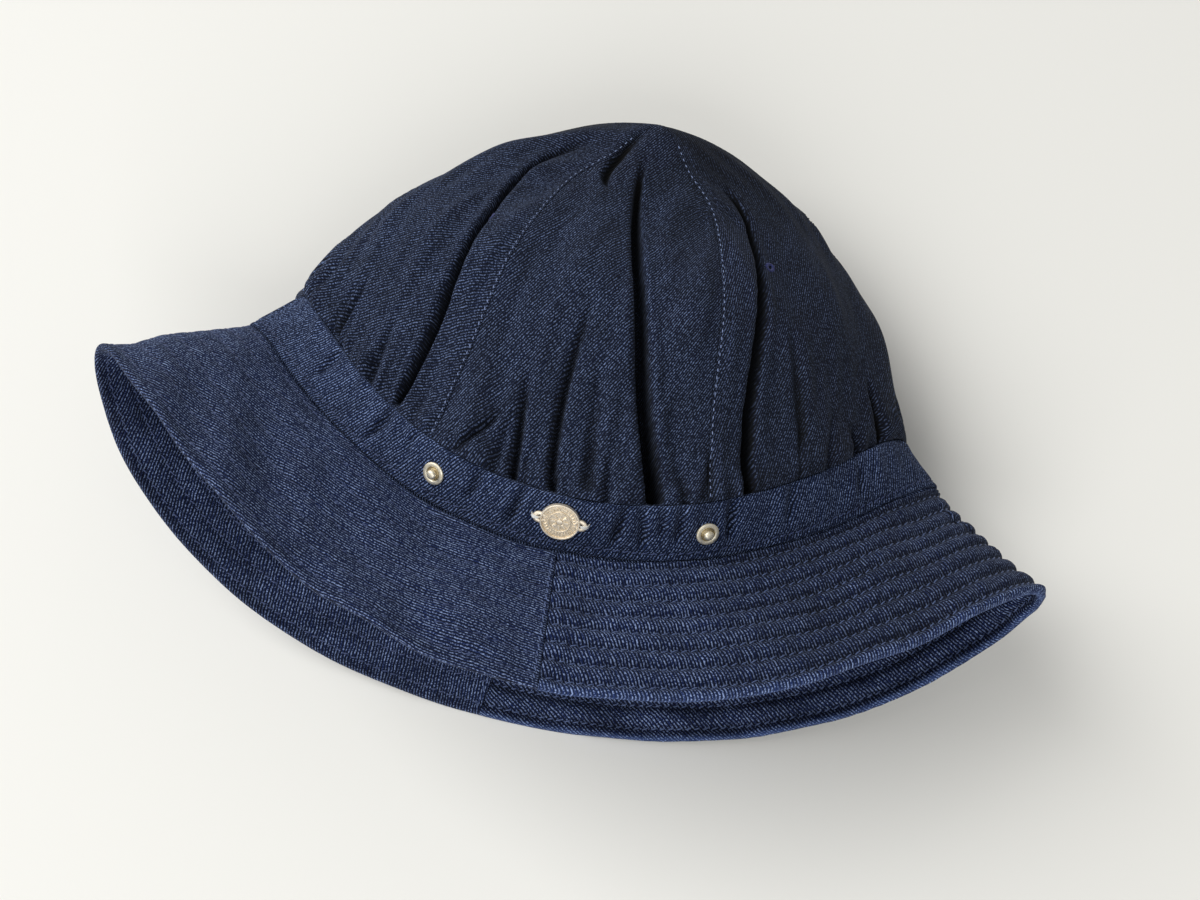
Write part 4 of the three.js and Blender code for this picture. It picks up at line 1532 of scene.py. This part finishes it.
@dataclass
class Badge:
    """A small round stamped badge with two sewn ears: a raised rim, a ring of plain ticks and an inner ring
    round a plain star of petals."""

    radius: float = 6.3
    ear_reach: float = 8.7
    ear_radius: float = 2.1
    ear_hole: float = 0.66
    thickness: float = 1.3
    seat_height: float = 0.3
    ticks: int = 28
    petals: int = 8
    ear_stretch: float = 1.12
    strand: float = 0.17

    def disc(self) -> bpy.types.Object:
        """The stamped disc with its rim, its inner ring and its middle, from the underside to the top."""
        r, t = self.radius, self.thickness
        plate = 0.62 * t
        profile = [
            (0.96 * r, 0.0),
            (r, 0.12),
            (r, 0.7 * plate),
            (0.995 * r, 0.93 * t),
            (0.975 * r, t),
            (0.925 * r, t),
            (0.905 * r, 0.93 * t),
            (0.885 * r, 0.7 * plate + 0.12),
            (0.865 * r, plate),
            (0.58 * r, plate),
            (0.568 * r, 0.86 * t),
            (0.545 * r, 0.92 * t),
            (0.52 * r, 0.86 * t),
            (0.508 * r, plate),
            (0.16 * r, plate),
            (0.15 * r, 0.88 * t),
            (0.1 * r, 0.98 * t),
            (0.03 * r, t),
        ]
        return turned_solid("badge_disc", profile, 72)

    def raised_mark(self, distance: float, length: float, width: float, angle: float) -> bpy.types.Object:
        """A small raised bar on the disc.

        Args:
            distance: From the disc's middle to the bar's, in millimetres.
            length: Outwards from the middle.
            width: Round the disc.
            angle: Where it stands, in radians.

        Returns:
            The new bar.
        """
        deselect_all()
        high = 0.9 * self.thickness
        bpy.ops.mesh.primitive_cube_add(size=1)
        bar = bpy.context.object
        bpy.ops.object.mode_set(mode="EDIT")
        bpy.ops.mesh.select_all(action="SELECT")
        bpy.ops.transform.resize(value=(length * MM, width * MM, high * MM))
        bpy.ops.mesh.bevel(offset=0.09 * MM, segments=1, affect="EDGES")
        bpy.ops.object.mode_set(mode="OBJECT")
        place = Matrix.Rotation(angle, 4, "Z") @ Matrix.Translation((distance * MM, 0, high / 2 * MM))
        bar.data.transform(place)
        return bar

    def ear(self, side: float) -> bpy.types.Object:
        """An ear with its sewing hole.

        Args:
            side: 1 for the right ear, -1 for the left.

        Returns:
            The new ear.
        """
        deselect_all()
        middle = (self.ear_radius + self.ear_hole) / 2
        bpy.ops.mesh.primitive_torus_add(
            major_segments=28,
            minor_segments=10,
            major_radius=middle * MM,
            minor_radius=(self.ear_radius - self.ear_hole) / 2 * MM,
        )
        ear = bpy.context.object
        bpy.ops.object.mode_set(mode="EDIT")
        bpy.ops.mesh.select_all(action="SELECT")
        bpy.ops.transform.resize(value=(self.ear_stretch, 1.0, 0.78), center_override=(0, 0, 0))
        bpy.ops.object.mode_set(mode="OBJECT")
        out = (self.ear_reach - self.ear_radius * self.ear_stretch) * side
        ear.data.transform(Matrix.Translation((out * MM, 0, 0.42 * MM)))
        return ear

    def make(self) -> None:
        """Builds the badge and the thread that holds its ears."""
        parts = [self.disc(), self.ear(1.0), self.ear(-1.0)]
        r = self.radius
        for k in range(self.ticks):
            turn = 2 * math.pi * (k + 0.5) / self.ticks
            parts.append(self.raised_mark(0.725 * r, 0.15 * r, 0.045 * r, turn))
        for k in range(self.petals):
            turn = 2 * math.pi * k / self.petals
            parts.append(self.raised_mark(0.32 * r, 0.24 * r, 0.1 * r, turn))
        badge = join_into("badge_metal_piece", parts)
        for face in badge.data.polygons:
            face.use_smooth = True
        bpy.ops.object.shade_smooth_by_angle(angle=math.radians(35))
        # Painted shade on the low plate between the badge's raised rings and marks.
        darken_low_places(badge, 0.8, 1.12, 0.88 * self.radius, 0.35)
        place = seat(*BADGE_PLACE) @ Matrix.Translation((0, 0, self.seat_height * MM))
        set_in_place(badge, place)
        dress(badge, Finish.BADGE_METAL, "badge_metal", "badge")
        self.sew_ears(place)

    def sew_ears(self, place: Matrix) -> None:
        """Loops of white thread from each ear's hole out over its end.

        Args:
            place: The badge's placing matrix.
        """
        loops = []
        hole = self.ear_reach - self.ear_radius * self.ear_stretch
        spreads = (-0.42, -0.14, 0.14, 0.42)
        for side in (1.0, -1.0):
            for k, spread in enumerate(spreads):
                over = self.ear_reach + 0.1 + 0.2 * (k % 2)
                points = [
                    (hole - 0.1, 0.3 * spread, -0.2),
                    (hole + 0.1, 0.4 * spread, 0.9),
                    (hole + 0.7, 0.7 * spread, 1.2),
                    (self.ear_reach - 0.3, 1.0 * spread, 1.0),
                    (over, 1.3 * spread, 0.4),
                    (over + 0.1, 1.5 * spread, -0.6),
                ]
                loops.append(self.thread_loop([(side * x, y, z) for x, y, z in points]))
        sewn = join_into("badge_thread", loops)
        set_in_place(sewn, place)
        dress(sewn, Finish.WHITE_THREAD, "badge_metal")

    def thread_loop(self, points: list[tuple[float, float, float]]) -> bpy.types.Object:
        """One strand of thread.

        Args:
            points: Where it runs, in millimetres on the badge.

        Returns:
            The strand as a mesh.
        """
        deselect_all()
        curve = bpy.data.curves.new("strand", "CURVE")
        curve.dimensions = "3D"
        curve.bevel_depth = self.strand * MM
        curve.bevel_resolution = 2
        curve.resolution_u = 5
        curve.use_fill_caps = True
        spline = curve.splines.new("NURBS")
        spline.points.add(len(points) - 1)
        for point, (x, y, z) in zip(spline.points, points):
            point.co = (x * MM, y * MM, z * MM, 1.0)
        spline.order_u = 4
        spline.use_endpoint_u = True
        strand = bpy.data.objects.new("strand", curve)
        bpy.context.scene.collection.objects.link(strand)
        strand.select_set(True)
        bpy.context.view_layer.objects.active = strand
        bpy.ops.object.convert(target="MESH")
        return bpy.context.object


@dataclass(frozen=True)
class Lamp:
    """A soft lamp: its place and side in metres, and its power in watts."""

    name: str
    place: tuple[float, float, float]
    size: float
    power: float


@dataclass
class Studio:
    """A pale table top, soft light and the camera. Its distance and target are in millimetres."""

    elevation: float = 67.44
    azimuth: float = -5.87
    roll: float = 7.95
    distance: float = 451.43
    lens: float = 40.0
    sensor: float = 36.0
    target: tuple[float, float, float] = (8.45, -14.94, 38.31)
    floor_size: float = 6.0
    floor_colour: str = "#eeedea"
    room_colour: str = "#f6f6f4"
    room_strength: float = 0.34
    lamp_colour: str = "#fdfdfa"
    lamps: tuple[Lamp, ...] = (
        Lamp("window_light", (-2.4, 0.2, 2.4), 2.6, 98.0),
        Lamp("front_fill", (0.0, -2.6, 1.2), 2.4, 58.0),
    )

    def camera(self) -> None:
        """Sets up the camera as the photograph was taken."""
        el, az, ro = (math.radians(v) for v in (self.elevation, self.azimuth, self.roll))
        forward = Vector((math.cos(el) * math.sin(az), math.cos(el) * math.cos(az), -math.sin(el)))
        right = Vector((math.cos(az), -math.sin(az), 0.0))
        up = right.cross(forward)
        turned_right = math.cos(ro) * right + math.sin(ro) * up
        turned_up = -math.sin(ro) * right + math.cos(ro) * up
        place = Vector(self.target) * MM - forward * self.distance * MM
        data = bpy.data.cameras.new("photo_camera")
        data.sensor_fit = "HORIZONTAL"
        data.sensor_width = self.sensor
        data.lens = self.lens
        data.clip_start = 0.01
        made = bpy.data.objects.new("photo_camera", data)
        bpy.context.scene.collection.objects.link(made)
        basis = Matrix((turned_right, turned_up, -forward)).transposed().to_4x4()
        made.matrix_world = Matrix.Translation(place) @ basis
        bpy.context.scene.camera = made

    def floor(self) -> None:
        """A plain pale table top."""
        deselect_all()
        bpy.ops.mesh.primitive_plane_add(size=self.floor_size, location=(0, 0, 0))
        top = bpy.context.object
        top.name = "table_top"
        bpy.ops.object.transform_apply(location=True, rotation=True, scale=True)
        look = {"Base Color": linear_colour(self.floor_colour), "Roughness": 0.7, "Specular IOR Level": 0.2}
        # White melamine laminate, matt.
        material = Shading("matt_white_laminate").finish(look)
        top.data.materials.append(material)

    def hang(self, lamp: Lamp) -> None:
        """Adds a soft square lamp aimed at the hat."""
        data = bpy.data.lights.new(lamp.name, "AREA")
        data.shape = "SQUARE"
        data.size = lamp.size
        data.energy = lamp.power
        data.color = linear_colour(self.lamp_colour)[:3]
        made = bpy.data.objects.new(lamp.name, data)
        bpy.context.scene.collection.objects.link(made)
        made.location = lamp.place
        made.rotation_euler = (-Vector(lamp.place)).to_track_quat("-Z", "Y").to_euler()

    def light(self) -> None:
        """Soft daylight from the left, a fill from the front and a pale room all round."""
        world = bpy.data.worlds.new("pale_room")
        bpy.context.scene.world = world
        world.use_nodes = True
        background = world.node_tree.nodes["Background"]
        background.inputs["Color"].default_value = linear_colour(self.room_colour)
        background.inputs["Strength"].default_value = self.room_strength
        for lamp in self.lamps:
            self.hang(lamp)
        bpy.context.scene.view_settings.view_transform = "Standard"

    def make(self) -> None:
        """Builds the camera, the table top and the light."""
        self.camera()
        self.floor()
        self.light()


def main() -> None:
    """Builds the whole hat and its setting."""
    logging.basicConfig(level=logging.INFO, format="%(message)s")
    Studio().make()
    for piece in (Crown(), Band(), Brim(), SnapStuds(), Badge()):
        piece.make()


if __name__ == "__main__":
    main()
